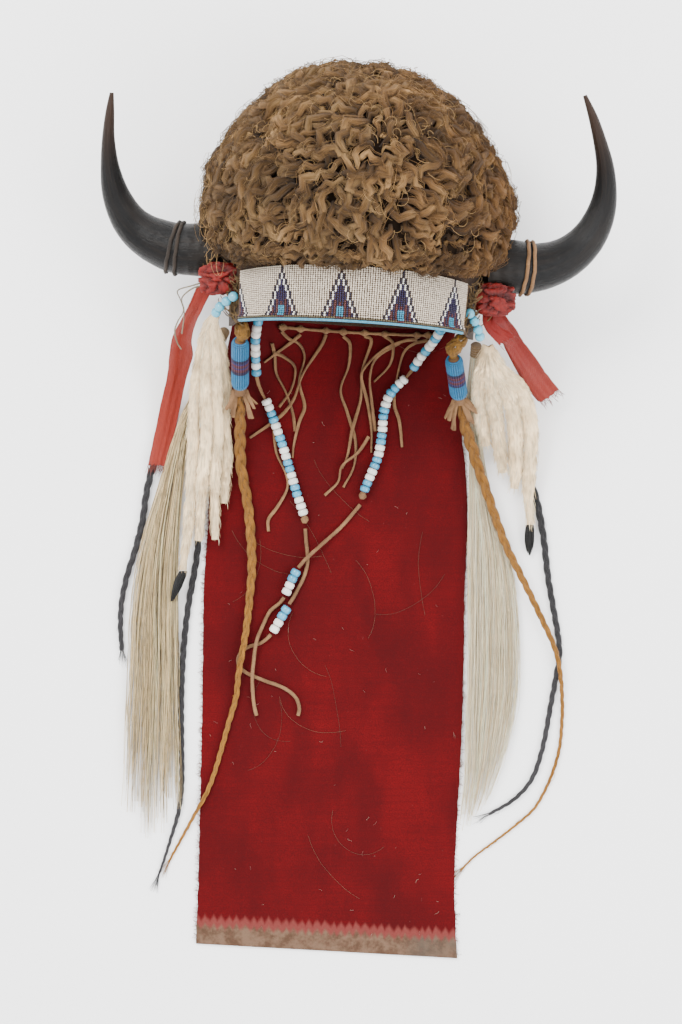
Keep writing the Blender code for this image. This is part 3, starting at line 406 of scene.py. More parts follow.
# Node trees.
class Value:
    """A number that comes out of a node, and can be reckoned with."""

    def __init__(self, graph: "Graph", socket: Socket) -> None:
        """Wraps a socket.

        Args:
            graph: the tree that holds it.
            socket: the output socket.
        """
        self.graph = graph
        self.socket = socket

    def __add__(self, other: "Value | float") -> "Value":
        """Adds a number."""
        return self.graph.maths("ADD", self, other)

    def __radd__(self, other: "Value | float") -> "Value":
        """Adds this number to another."""
        return self.graph.maths("ADD", other, self)

    def __sub__(self, other: "Value | float") -> "Value":
        """Takes a number away."""
        return self.graph.maths("SUBTRACT", self, other)

    def __rsub__(self, other: "Value | float") -> "Value":
        """Takes this number from another."""
        return self.graph.maths("SUBTRACT", other, self)

    def __mul__(self, other: "Value | float") -> "Value":
        """Multiplies by a number."""
        return self.graph.maths("MULTIPLY", self, other)

    def __rmul__(self, other: "Value | float") -> "Value":
        """Multiplies another number."""
        return self.graph.maths("MULTIPLY", other, self)

    def __truediv__(self, other: "Value | float") -> "Value":
        """Divides by a number."""
        return self.graph.maths("DIVIDE", self, other)

    def __rtruediv__(self, other: "Value | float") -> "Value":
        """Divides another number."""
        return self.graph.maths("DIVIDE", other, self)

    def __pow__(self, other: "Value | float") -> "Value":
        """Raises to a power."""
        return self.graph.maths("POWER", self, other)

    def sine(self) -> "Value":
        """Gives the sine of this number."""
        return self.graph.maths("SINE", self)

    def size(self) -> "Value":
        """Gives this number without its sign."""
        return self.graph.maths("ABSOLUTE", self)

    def wrapped(self, period: float) -> "Value":
        """Gives this number as a wave from 0 to half a period and back."""
        return self.graph.maths("PINGPONG", self, period / 2)

    def ramp(self, low: float, high: float) -> "Value":
        """Gives 0 where this number is under low, 1 where it is over high, and a soft rise between."""
        made = self.graph.node("ShaderNodeMapRange", {"Value": self, "From Min": low, "From Max": high},
                               interpolation_type="SMOOTHSTEP")
        return Value(self.graph, made.outputs["Result"])


Number = Value | float
Tone = Socket | Colour


class Graph:
    """Makes the nodes of one tree."""

    def __init__(self, tree: Tree) -> None:
        """Starts on a tree.

        Args:
            tree: the tree to fill.
        """
        self.tree = tree

    def node(self, kind: str, values: dict | None = None, **settings: object) -> Node:
        """Adds a node.

        Args:
            kind: the node's type.
            values: what its inputs hold or are joined to, by name or number.
            settings: its other settings.

        Returns:
            The node.
        """
        made = self.tree.nodes.new(kind)
        for name, value in settings.items():
            setattr(made, name, value)
        for name, value in (values or {}).items():
            target = made.inputs[name]
            if isinstance(value, Value):
                self.tree.links.new(value.socket, target)
            elif isinstance(value, Socket):
                self.tree.links.new(value, target)
            else:
                target.default_value = value
        return made

    def maths(self, operation: str, *values: Number) -> Value:
        """Adds a Math node.

        Args:
            operation: what it does.
            values: its inputs.

        Returns:
            Its result.
        """
        made = self.node("ShaderNodeMath", dict(enumerate(values)), operation=operation)
        return Value(self, made.outputs[0])

    def vector(self, operation: str, *values: object) -> Socket:
        """Adds a Vector Math node.

        Args:
            operation: what it does.
            values: its inputs; for SCALE the second is a number.

        Returns:
            Its result.
        """
        keys = [0, "Scale"] if operation == "SCALE" else [0, 1]
        made = self.node("ShaderNodeVectorMath", dict(zip(keys, values)), operation=operation)
        return made.outputs[0]

    def combine(self, x: Number, y: Number, z: Number) -> Socket:
        """Joins three numbers into a vector."""
        return self.node("ShaderNodeCombineXYZ", {0: x, 1: y, 2: z}).outputs[0]

    def parts(self, vector: Socket) -> list[Value]:
        """Splits a vector into its three numbers."""
        made = self.node("ShaderNodeSeparateXYZ", {0: vector})
        return [Value(self, out) for out in made.outputs]

    def place(self) -> Socket:
        """Gives the place on the object, in its own coordinates."""
        return self.node("ShaderNodeTexCoord").outputs["Object"]

    def attribute(self, name: str) -> Node:
        """Reads a named attribute of the mesh."""
        return self.node("ShaderNodeAttribute", attribute_name=name, attribute_type="GEOMETRY")

    def number(self, name: str) -> Value:
        """Reads a number that the mesh holds."""
        return Value(self, self.attribute(name).outputs["Fac"])

    def noise(self, scale: float, vector: Socket | None = None, detail: float = 3.0,
              roughness: float = 0.55, distortion: float = 0.0) -> Value:
        """Adds a noise.

        Args:
            scale: its scale per metre.
            vector: where it is read; the object's own coordinates if left out.
            detail: how many finer layers it has.
            roughness: how strong they are.
            distortion: how far it is bent.

        Returns:
            The noise, about 0 to 1.
        """
        made = self.node("ShaderNodeTexNoise", {
            "Vector": vector if vector is not None else self.place(), "Scale": scale, "Detail": detail,
            "Roughness": roughness, "Distortion": distortion,
        })
        return Value(self, made.outputs[0])

    def cells(self, scale: float) -> Value:
        """Adds a cell pattern and gives the distance to the nearest cell's middle."""
        made = self.node("ShaderNodeTexVoronoi", {"Vector": self.place(), "Scale": scale}, feature="F1")
        return Value(self, made.outputs["Distance"])

    def mix(self, share: Number, first: Tone, second: Tone, blend: str = "MIX") -> Socket:
        """Mixes two colours.

        Args:
            share: how much of the second.
            first: a colour or a socket.
            second: a colour or a socket.
            blend: how they are mixed.

        Returns:
            The mixed colour's socket.
        """
        def full(colour: Tone) -> Socket | tuple[float, ...]:
            """Makes a plain colour opaque."""
            return (*colour, 1.0) if isinstance(colour, tuple) and len(colour) == 3 else colour

        made = self.node("ShaderNodeMix", {0: share, 6: full(first), 7: full(second)}, data_type="RGBA",
                         blend_type=blend, clamp_factor=True)
        return made.outputs[2]

    def bump(self, height: Value, strength: float, distance: float, under: Socket | None = None) -> Socket:
        """Turns a height into a normal.

        Args:
            height: the height, about 0 to 1.
            strength: how strong the relief looks.
            distance: how high a height of 1 is, in metres.
            under: a normal to add to.

        Returns:
            The normal's socket.
        """
        values = {"Height": height, "Strength": strength, "Distance": distance}
        if under is not None:
            values["Normal"] = under
        return self.node("ShaderNodeBump", values).outputs[0]


def new_material(name: str) -> tuple[Material, Graph]:
    """Starts a material with an empty tree.

    Args:
        name: its name.

    Returns:
        The material and the graph of its tree.
    """
    made = bpy.data.materials.new(name)
    made.use_nodes = True
    made.node_tree.nodes.clear()
    return made, Graph(made.node_tree)


def finish_material(graph: Graph, values: dict) -> None:
    """Adds the surface shader and the output.

    Args:
        graph: the material's graph.
        values: what the shader's inputs hold or are joined to.
    """
    surface = graph.node("ShaderNodeBsdfPrincipled", values)
    graph.node("ShaderNodeOutputMaterial", {"Surface": surface.outputs[0]})


@dataclass(frozen=True)
class FibreFinish:
    """Hair, wool or fur whose colour is held by the mesh, with fine streaks along each strand."""

    name: str
    streak: float = 0.9
    across: float = 3.4
    along: float = 75.0
    roughness: float = 0.75
    sheen: float = 0.05
    gloss: float = 0.25
    relief: float = 0.7
    stain: Colour = (0.16, 0.095, 0.040)
    stain_amount: float = 0.0

    def make(self) -> Material:
        """Builds the material.

        Returns:
            The material.
        """
        made, graph = new_material(self.name)
        tint = graph.attribute("tint").outputs["Color"]
        ring_x, ring_y, _ = graph.parts(graph.attribute("ring").outputs["Vector"])
        flow, own = graph.number("flow"), graph.number("own")
        spot = graph.combine(ring_x * self.across + own * 61.0, ring_y * self.across + own * 23.0,
                             flow * self.along)
        fine = graph.noise(1.7, spot, detail=4.0, roughness=0.7)
        broad = graph.noise(120.0, detail=2.0)
        hairs = fine.ramp(0.32, 0.68)
        level = 1.0 - self.streak / 2 + (hairs * 0.7 + broad * 0.3) * self.streak
        dark = graph.mix(1.0, tint, graph.combine(level, level, level), "MULTIPLY")
        worn = graph.noise(38.0, detail=3.0).ramp(0.5, 0.72) * self.stain_amount
        finish_material(graph, {
            "Base Color": graph.mix(worn, dark, self.stain),
            "Roughness": self.roughness + fine * 0.15,
            "Sheen Weight": self.sheen,
            "Sheen Roughness": 0.5,
            "Specular IOR Level": self.gloss,
            "Normal": graph.bump(hairs, self.relief, 0.0009),
        })
        return made


@dataclass(frozen=True)
class HornFinish:
    """Polished horn: almost black, streaked along its length, browner at its base and tip."""

    name: str = "polished_horn"

    def make(self) -> Material:
        """Builds the material.

        Returns:
            The material.
        """
        made, graph = new_material(self.name)
        along = graph.number("along")
        around = graph.number("around")
        spot = graph.combine(around * 9.0, along * 2.2, 0.0)
        streaks = graph.noise(1.6, spot, detail=5.0, roughness=0.65)
        fine = graph.noise(7.0, spot, detail=4.0, roughness=0.7)
        black = graph.mix(streaks.ramp(0.42, 0.75), (0.0012, 0.0011, 0.0012), (0.0075, 0.0050, 0.0036))
        tip = graph.mix(along.ramp(0.62, 1.0) * (0.35 + streaks * 0.6), black, (0.032, 0.016, 0.009))
        base = graph.mix((1.0 - along).ramp(0.84, 1.0) * 0.6, tip, (0.012, 0.008, 0.005))
        worn = graph.noise(420.0, detail=5.0, roughness=0.75).ramp(0.55, 0.8)
        colour = graph.mix(worn * 0.25, base, (0.020, 0.014, 0.010))
        rings = (along * 140.0 + streaks * 9.0).sine() * (1.0 - along).ramp(0.55, 1.0)
        relief = fine * 0.7 + rings * 0.22 + streaks
        finish_material(graph, {
            "Base Color": colour,
            "Roughness": 0.20 + fine * 0.20 + worn * 0.15,
            "Specular IOR Level": 0.14,
            "Normal": graph.bump(relief, 0.55, 0.0011),
        })
        return made


@dataclass(frozen=True)
class LeatherFinish:
    """Hide or thong: mottled, with grain and darker hollows."""

    name: str
    light: Colour = (0.20, 0.12, 0.06)
    dark: Colour = (0.08, 0.042, 0.020)
    grain: float = 1400.0
    roughness: float = 0.72
    relief: float = 0.5

    def make(self) -> Material:
        """Builds the material.

        Returns:
            The material.
        """
        made, graph = new_material(self.name)
        broad = graph.noise(70.0, detail=4.0, roughness=0.6)
        fine = graph.noise(self.grain, detail=4.0, roughness=0.65)
        cells = graph.cells(self.grain * 0.7)
        mottled = graph.mix((broad * 0.65 + fine * 0.35).ramp(0.32, 0.68), self.dark, self.light)
        colour = graph.mix(cells.ramp(0.0, 0.35), shaded(self.dark, 0.7), mottled)
        finish_material(graph, {
            "Base Color": colour,
            "Roughness": self.roughness + fine * 0.15,
            "Sheen Weight": 0.05,
            "Specular IOR Level": 0.2,
            "Normal": graph.bump(fine * 0.6 + cells * 0.5 + broad * 0.6, self.relief, 0.0007),
        })
        return made


@dataclass(frozen=True)
class BeadFinish:
    """Opaque glass beads whose colour is held by the mesh."""

    name: str
    roughness: float = 0.22
    coat: float = 0.5
    uneven: float = 0.16

    def make(self) -> Material:
        """Builds the material.

        Returns:
            The material.
        """
        made, graph = new_material(self.name)
        tint = graph.attribute("tint").outputs["Color"]
        patches = graph.noise(320.0, detail=3.0)
        fine = graph.noise(2600.0, detail=3.0)
        level = 1.0 - self.uneven + patches * self.uneven * 1.6
        toned = graph.mix(1.0, tint, graph.combine(level, level, level), "MULTIPLY")
        dusty = graph.mix(fine.ramp(0.6, 0.85) * 0.18, toned, (0.14, 0.11, 0.07))
        finish_material(graph, {
            "Base Color": dusty,
            "Roughness": self.roughness + fine * 0.2,
            "Coat Weight": self.coat,
            "Coat Roughness": 0.12,
            "Specular IOR Level": 0.25,
            "Normal": graph.bump(fine, 0.12, 0.0003),
        })
        return made


@dataclass(frozen=True)
class TradeClothFinish:
    """Red wool trade cloth with an undyed selvedge along its lower edge, and lint on it."""

    name: str = "red_trade_cloth"
    thread: float = 0.0012
    selvedge: float = 0.0195
    tooth: float = 0.0060

    def make(self) -> Material:
        """Builds the material.

        Returns:
            The material.
        """
        made, graph = new_material(self.name)
        place = graph.place()
        x, y, _ = graph.parts(place)
        hem = graph.number("hem")
        wobble = graph.noise(55.0, detail=2.0)
        turns = 2 * math.pi / self.thread
        weave = (x * turns + wobble * 3.0).sine() * (y * turns + wobble * 3.0).sine()
        nap = graph.noise(1500.0, detail=4.0, roughness=0.75)
        fuzz = graph.noise(420.0, detail=5.0, roughness=0.8, distortion=0.8)
        patches = graph.noise(11.0, detail=4.0, roughness=0.6)
        rows = graph.noise(60.0, graph.vector("MULTIPLY", place, (0.35, 12.0, 1.0)), detail=2.0)
        folds = graph.noise(30.0, graph.vector("MULTIPLY", place, (1.0, 0.35, 1.0)), detail=2.0)
        deep = graph.mix(patches.ramp(0.34, 0.66), (0.060, 0.0013, 0.0022), (0.098, 0.0016, 0.0028))
        shade = graph.mix(folds.ramp(0.42, 0.66) * 0.45, deep, (0.030, 0.0012, 0.0020))
        lined = graph.mix(rows.ramp(0.4, 0.7) * 0.28, shade, (0.034, 0.0014, 0.0022))
        bright = graph.mix(fuzz.ramp(0.50, 0.74) * 0.30, lined, (0.125, 0.0042, 0.0050))
        dark_nap = graph.mix(nap.ramp(0.30, 0.62), (0.036, 0.0012, 0.0019), bright)
        lint_spots = graph.noise(1100.0, graph.vector("MULTIPLY", place, (1.0, 0.25, 1.0)), detail=2.0,
                                 distortion=1.4)
        lint = graph.mix(lint_spots.ramp(0.755, 0.80) * 0.5, dark_nap, (0.22, 0.075, 0.07))
        worn = graph.noise(120.0, detail=4.0, roughness=0.7)
        rubbed = graph.noise(16.0, detail=3.0)
        tan = graph.mix(worn.ramp(0.35, 0.65), (0.058, 0.032, 0.019), (0.118, 0.072, 0.046))
        ground = graph.mix(rubbed.ramp(0.5, 0.72) * 0.8, tan, (0.060, 0.049, 0.038))
        pinkish = graph.mix(fuzz.ramp(0.45, 0.7) * 0.35, ground, (0.125, 0.055, 0.038))
        uneven = graph.noise(90.0, graph.vector("MULTIPLY", place, (1.0, 0.1, 0.1)), detail=2.0)
        teeth = (x + uneven * 0.007).wrapped(self.tooth) / self.tooth * (0.002 + uneven * 0.011)
        edge = hem - teeth + (wobble - 0.5) * 0.004
        in_pink = 1.0 - edge.ramp(self.selvedge - 0.0035, self.selvedge + 0.0012)
        in_ground = 1.0 - (edge + 0.0015 + fuzz * 0.003).ramp(self.selvedge - 0.0070, self.selvedge - 0.0020)
        banded = graph.mix(in_pink, lint, graph.mix(fuzz * 0.6, (0.100, 0.013, 0.013), (0.170, 0.055, 0.043)))
        colour = graph.mix(in_ground, banded, pinkish)
        relief = nap * 0.9 + weave * 0.18 + fuzz * 0.7
        finish_material(graph, {
            "Base Color": colour,
            "Roughness": 0.86 + nap * 0.1,
            "Sheen Weight": 0.04,
            "Sheen Roughness": 0.45,
            "Sheen Tint": (0.75, 0.20, 0.20, 1.0),
            "Specular IOR Level": 0.1,
            "Normal": graph.bump(relief, 0.55, 0.0007, graph.bump(folds, 0.5, 0.006)),
        })
        return made


@dataclass(frozen=True)
class SilkFinish:
    """Silk ribbon: a fine weave with a soft gloss, faded where the mesh says so; on the bunched knot the same
    mix is painted shade in the creases and painted light on the puffs.
    """

    name: str
    fresh_dye_and_shade: Colour = (0.135, 0.0020, 0.0014)
    faded_dye_and_light: Colour = (0.190, 0.0135, 0.0046)
    roughness: float = 0.42

    def make(self) -> Material:
        """Builds the material.

        Returns:
            The material.
        """
        made, graph = new_material(self.name)
        # How faded the silk is; on the bunched knot, painted shade where low and painted light where high.
        fade = graph.number("fade")
        patches = graph.noise(90.0, detail=3.0)
        threads = graph.noise(60.0, graph.vector("MULTIPLY", graph.place(), (60.0, 4.0, 4.0)), detail=2.0)
        colour = graph.mix((fade + (patches - 0.5) * 0.7).ramp(0.0, 1.0), self.fresh_dye_and_shade, self.faded_dye_and_light)
        toned = graph.mix(threads.ramp(0.35, 0.7) * 0.30, colour, shaded(self.fresh_dye_and_shade, 0.45))
        finish_material(graph, {
            "Base Color": toned,
            "Roughness": self.roughness + threads * 0.2,
            "Sheen Weight": 0.08,
            "Sheen Roughness": 0.3,
            "Specular IOR Level": 0.25,
            "Normal": graph.bump(threads + patches, 0.6, 0.0009),
        })
        return made


@dataclass(frozen=True)
class FloorFinish:
    """The pale surface that the bonnet lies on."""

    name: str = "pale_floor"
    colour: Colour = (0.93, 0.93, 0.93)

    def make(self) -> Material:
        """Builds the material.

        Returns:
            The material.
        """
        made, graph = new_material(self.name)
        finish_material(graph, {
            "Base Color": graph.mix(graph.noise(6.0).ramp(0.3, 0.7), shaded(self.colour, 0.985), self.colour),
            "Roughness": 0.75,
            "Specular IOR Level": 0.2,
        })
        return made


# Meshes.
class MeshMaker:
    """Gathers points and faces, with a colour and numbers for each point, into one mesh."""

    def __init__(self) -> None:
        """Starts with nothing."""
        self.points: list[Vector] = []
        self.faces: list[tuple[int, ...]] = []
        self.tints: list[Colour] = []
        names = ("along", "around", "fade", "hem", "flow", "own")
        self.numbers: dict[str, list[float]] = {name: [] for name in names}
        self.rings: list[float] = []

    def add(self, point: Sequence[float], tint: Colour = PLAIN, ring: Sequence[float] = (0.0, 0.0),
            **numbers: float) -> int:
        """Adds a point.

        Args:
            point: its place.
            tint: its colour.
            ring: its place on a tube's outline.
            numbers: any of along, around, fade, hem, flow and own.

        Returns:
            Its number.
        """
        self.points.append(Vector(point))
        self.tints.append(tint)
        self.rings.extend((*ring, 0.0))
        for name, values in self.numbers.items():
            values.append(numbers.get(name, 0.0))
        return len(self.points) - 1

    def tube(self, route: Rows, wides: Sequence[float] | float, thicks: Sequence[float] | float, sides: int,
             tint: Colour | list[Colour] = PLAIN, twist: float = 0.0, uneven: float = 0.0) -> None:
        """Adds a closed tube along a route.

        Args:
            route: rows whose first three numbers are a place.
            wides: its width at each row, or one number.
            thicks: its thickness at each row, or one number.
            sides: how many sides it has.
            tint: its colour, or a colour for each row.
            twist: how far it turns from end to end, in radians.
            uneven: how much its outline wanders, as a share of its size.
        """
        count = len(route)
        places = [Vector(row[:3]) for row in route]
        base = len(self.points)
        own = (base * 0.618) % 1.0
        flow = 0.0
        for k in range(count):
            flow += (places[k] - places[k - 1]).length if k else 0.0
            along = heading(places, k)
            across = along.cross(UP)
            if across.length < 1e-4:
                across = along.orthogonal()
            across.normalize()
            square = across.cross(along).normalized()
            share = k / max(count - 1, 1)
            wide = wides[k] if isinstance(wides, (list, tuple)) else wides
            thick = thicks[k] if isinstance(thicks, (list, tuple)) else thicks
            colour = tint[k] if isinstance(tint, list) else tint
            turn = twist * share
            for i in range(sides):
                angle = 2 * math.pi * i / sides
                swell = 1.0
                if uneven:
                    swell += uneven * field.noise(places[k] * 420.0 + Vector((i * 1.7, 0.0, 3.1)))
                x = wide / 2 * math.cos(angle) * swell
                z = thick / 2 * math.sin(angle) * swell
                a = x * math.cos(turn) - z * math.sin(turn)
                b = x * math.sin(turn) + z * math.cos(turn)
                self.add(places[k] + across * a + square * b, colour, (math.cos(angle), math.sin(angle)),
                         along=share, around=abs(2 * i / sides - 1), flow=flow, own=own)
        for k in range(count - 1):
            for i in range(sides):
                j = (i + 1) % sides
                a, b = base + k * sides, base + (k + 1) * sides
                self.faces.append((a + j, a + i, b + i, b + j))
        self.faces.append(tuple(base + i for i in range(sides)))
        last = base + (count - 1) * sides
        self.faces.append(tuple(last + i for i in reversed(range(sides))))

    def sheet(self, rows: list[list[Vector]], thick: float, fades: list[float] | None = None,
              hems: list[list[float]] | None = None) -> None:
        """Adds a closed sheet through rows of points.

        Args:
            rows: rows of points of the upper side, each row of the same length.
            thick: the sheet's thickness, below the upper side.
            fades: a number for each row, or none.
            hems: rows of numbers for each point, or none.
        """
        tall, wide = len(rows), len(rows[0])
        base = len(self.points)
        normals = []
        for r, row in enumerate(rows):
            for c, _ in enumerate(row):
                down = rows[min(r + 1, tall - 1)][c] - rows[max(r - 1, 0)][c]
                across = row[min(c + 1, wide - 1)] - row[max(c - 1, 0)]
                square = down.cross(across)
                normals.append(square.normalized() if square.length > 1e-12 else Vector((0, 0, 1)))
        for sink in (0.0, thick):
            for r, row in enumerate(rows):
                for c, point in enumerate(row):
                    self.add(point - normals[r * wide + c] * sink, along=r / (tall - 1),
                             around=c / (wide - 1), fade=fades[r] if fades else 0.0,
                             hem=hems[r][c] if hems else 0.0)
        under = base + tall * wide
        for r in range(tall - 1):
            for c in range(wide - 1):
                a, b = r * wide + c, (r + 1) * wide + c
                self.faces.append((base + a, base + b, base + b + 1, base + a + 1))
                self.faces.append((under + a + 1, under + b + 1, under + b, under + a))
        for c in range(wide - 1):
            a, b = c, (tall - 1) * wide + c
            self.faces.append((base + a, base + a + 1, under + a + 1, under + a))
            self.faces.append((base + b + 1, base + b, under + b, under + b + 1))
        for r in range(tall - 1):
            a, b = r * wide, (r + 1) * wide
            self.faces.append((base + b, base + a, under + a, under + b))
            a, b = a + wide - 1, b + wide - 1
            self.faces.append((base + a, base + b, under + b, under + a))

    def join(self, rings: list[list[int]]) -> None:
        """Adds the faces between each closed ring of points and the next.

        Args:
            rings: the numbers of each ring's points.
        """
        for low, high in zip(rings, rings[1:]):
            for i in range(len(low)):
                j = (i + 1) % len(low)
                self.faces.append((low[i], low[j], high[j], high[i]))

    def shell(self, layers: list[list[list[int]]], tops: list[int]) -> None:
        """Adds the faces of a hollow shell.

        Args:
            layers: the rings of its outside and of its inside, from the open edge up.
            tops: the middle of each layer's top.
        """
        for rings, top in zip(layers, tops):
            self.join(rings)
            last = rings[-1]
            for i in range(len(last)):
                self.faces.append((last[i], last[(i + 1) % len(last)], top))
        outer, inner = layers[0][0], layers[1][0]
        for i in range(len(outer)):
            j = (i + 1) % len(outer)
            self.faces.append((outer[i], inner[i], inner[j], outer[j]))

    def build(self, name: str, finish: Material, sharp: float = 60.0) -> Object:
        """Makes the object.

        Args:
            name: its name.
            finish: its material.
            sharp: the angle over which an edge is sharp, in degrees.

        Returns:
            The object, riding on the frame.
        """
        mesh = bpy.data.meshes.new(name)
        mesh.from_pydata([tuple(p) for p in self.points], [], self.faces)
        mesh.update()
        keep(mesh, "tint", opaque(self.tints), "FLOAT_COLOR")
        keep(mesh, "ring", self.rings, "FLOAT_VECTOR")
        for key, values in self.numbers.items():
            keep(mesh, key, values)
        face_out(mesh)
        mesh.shade_smooth()
        mesh.set_sharp_from_angle(angle=math.radians(sharp))
        return placed(name, mesh, finish)


def opaque(tints: list[Colour]) -> list[float]:
    """Gives the numbers of opaque colours, one after the other."""
    return [value for colour in tints for value in (*colour, 1.0)]


def keep(mesh: Mesh, name: str, values: list[float], kind: str = "FLOAT") -> None:
    """Writes an attribute on a mesh's points.

    Args:
        mesh: the mesh.
        name: the attribute's name.
        values: its numbers, one after the other.
        kind: its data type.
    """
    label = {"FLOAT": "value", "FLOAT_VECTOR": "vector", "FLOAT_COLOR": "color"}[kind]
    mesh.attributes.new(name, kind, "POINT").data.foreach_set(label, values)


def face_out(mesh: Mesh) -> None:
    """Turns a mesh's faces outward.

    Args:
        mesh: the mesh to change.
    """
    work = bmesh.new()
    work.from_mesh(mesh)
    bmesh.ops.recalc_face_normals(work, faces=work.faces)
    work.to_mesh(mesh)
    work.free()


def placed(name: str, mesh: Mesh, finish: Material | None) -> Object:
    """Puts a mesh in the scene and lets it ride on the frame.

    Args:
        name: the object's name.
        mesh: its mesh.
        finish: its material, if the mesh has none yet.

    Returns:
        The object.
    """
    if finish is not None:
        mesh.materials.clear()
        mesh.materials.append(finish)
    made = bpy.data.objects.new(name, mesh)
    bpy.context.scene.collection.objects.link(made)
    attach(made, BODY)
    return made


# Node trees that grow what repeats.
def group_tree(name: str, inputs: Sequence[tuple[str, str]]) -> tuple[Graph, Node, Node]:
    """Starts a geometry node tree.

    Args:
        name: the tree's name.
        inputs: rows of input name and socket type.

    Returns:
        The graph, the node of its inputs and the node of its output.
    """
    tree = bpy.data.node_groups.new(name, "GeometryNodeTree")
    tree.interface.new_socket("Geometry", in_out="INPUT", socket_type="NodeSocketGeometry")
    for label, kind in inputs:
        tree.interface.new_socket(label, in_out="INPUT", socket_type=kind)
    tree.interface.new_socket("Geometry", in_out="OUTPUT", socket_type="NodeSocketGeometry")
    graph = Graph(tree)
    return graph, graph.node("NodeGroupInput"), graph.node("NodeGroupOutput")


def named(graph: Graph, name: str, kind: str = "FLOAT") -> Socket:
    """Reads a named attribute in a geometry tree.

    Args:
        graph: the tree's graph.
        name: the attribute's name.
        kind: its data type.

    Returns:
        Its socket.
    """
    return graph.node("GeometryNodeInputNamedAttribute", {"Name": name}, data_type=kind).outputs["Attribute"]


def ended(graph: Graph, given: Node, result: Node, shape: Socket) -> Tree:
    """Ends a geometry tree: its instances become real and get their finish.

    Args:
        graph: the tree's graph.
        given: the node of its inputs.
        result: the node of its output.
        shape: the geometry.

    Returns:
        The tree.
    """
    real = graph.node("GeometryNodeRealizeInstances", {"Geometry": shape})
    finished = graph.node("GeometryNodeSetMaterial", {
        "Geometry": real.outputs[0], "Material": given.outputs["Finish"],
    })
    graph.tree.links.new(finished.outputs[0], result.inputs[0])
    return graph.tree


def strand_tree() -> Tree:
    """Makes the tree that turns lines into strands that wander a little.

    Returns:
        The tree.
    """
    graph, given, result = group_tree("strand_tree", (
        ("Sides", "NodeSocketInt"), ("Wander", "NodeSocketFloat"), ("Wander Scale", "NodeSocketFloat"),
        ("Seed", "NodeSocketFloat"), ("Finish", "NodeSocketMaterial"),
    ))
    lines = graph.node("GeometryNodeMeshToCurve", {"Mesh": given.outputs["Geometry"]})
    spot = graph.node("GeometryNodeInputPosition").outputs[0]
    wobble = graph.node("ShaderNodeTexNoise", {
        "Vector": spot, "W": given.outputs["Seed"], "Scale": given.outputs["Wander Scale"], "Detail": 2.0,
    }, noise_dimensions="4D").outputs["Color"]
    centred = graph.vector("SUBTRACT", wobble, (0.5, 0.5, 0.5))
    loose = Value(graph, named(graph, "loose")) * Value(graph, given.outputs["Wander"])
    moved = graph.node("GeometryNodeSetPosition", {
        "Geometry": lines.outputs[0], "Offset": graph.vector("SCALE", centred, loose * 2.0),
    })
    ring = graph.node("GeometryNodeCurvePrimitiveCircle", {
        "Resolution": given.outputs["Sides"], "Radius": 1.0,
    })
    marked = graph.node("GeometryNodeStoreNamedAttribute", {
        "Geometry": ring.outputs[0], "Name": "ring",
        "Value": graph.node("GeometryNodeInputPosition").outputs[0],
    }, data_type="FLOAT_VECTOR", domain="POINT")
    swept = graph.node("GeometryNodeCurveToMesh", {
        "Curve": moved.outputs[0], "Profile Curve": marked.outputs[0], "Scale": named(graph, "thick"),
        "Fill Caps": True,
    })
    smooth = graph.node("GeometryNodeSetShadeSmooth", {"Geometry": swept.outputs[0]})
    return ended(graph, given, result, smooth.outputs[0])


def bead_tree() -> Tree:
    """Makes the tree that puts a bead on each point.

    Returns:
        The tree.
    """
    graph, given, result = group_tree("bead_tree", (
        ("Sides", "NodeSocketInt"), ("Rings", "NodeSocketInt"), ("Round", "NodeSocketFloat"),
        ("Power", "NodeSocketFloat"), ("Finish", "NodeSocketMaterial"),
    ))
    drum = graph.node("GeometryNodeMeshCylinder", {
        "Vertices": given.outputs["Sides"], "Side Segments": given.outputs["Rings"],
        "Radius": 0.5, "Depth": 1.0,
    }, fill_type="NGON")
    x, y, z = graph.parts(graph.node("GeometryNodeInputPosition").outputs[0])
    power, slimmer = Value(graph, given.outputs["Power"]), Value(graph, given.outputs["Round"])
    narrow = 1.0 - ((z.size() * 2.0) ** power) * slimmer
    shaped = graph.node("GeometryNodeSetPosition", {
        "Geometry": drum.outputs[0], "Position": graph.combine(x * narrow, y * narrow, z),
    })
    smooth = graph.node("GeometryNodeSetShadeSmooth", {"Geometry": shaped.outputs[0]})
    turned = graph.node("FunctionNodeAlignRotationToVector", {"Vector": named(graph, "axis", "FLOAT_VECTOR")},
                        axis="Z")
    wide, long = named(graph, "wide"), named(graph, "long")
    spread = graph.node("GeometryNodeInstanceOnPoints", {
        "Points": given.outputs["Geometry"], "Instance": smooth.outputs[0], "Rotation": turned.outputs[0],
        "Scale": graph.combine(wide, wide, long),
    })
    return ended(graph, given, result, spread.outputs[0])


def grown(name: str, mesh: Mesh, tree: Tree, values: dict) -> Object:
    """Runs a geometry tree on a mesh and keeps the result as a plain mesh.

    Args:
        name: the new object's name.
        mesh: the points or lines to grow from.
        tree: the geometry tree.
        values: what its inputs hold, by name.

    Returns:
        The object, riding on the frame.
    """
    seed = bpy.data.objects.new(name + "_seed", mesh)
    bpy.context.scene.collection.objects.link(seed)
    grower = seed.modifiers.new("grow", "NODES")
    grower.node_group = tree
    for item in tree.interface.items_tree:
        if item.item_type == "SOCKET" and item.in_out == "INPUT" and item.name in values:
            grower[item.identifier] = values[item.name]
    bpy.context.view_layer.update()
    result = bpy.data.meshes.new_from_object(seed.evaluated_get(bpy.context.evaluated_depsgraph_get()))
    seed.modifiers.clear()
    bpy.data.objects.remove(seed, do_unlink=True)
    result.name = name
    if not result.materials:
        result.materials.append(values["Finish"])
    return placed(name, result, None)


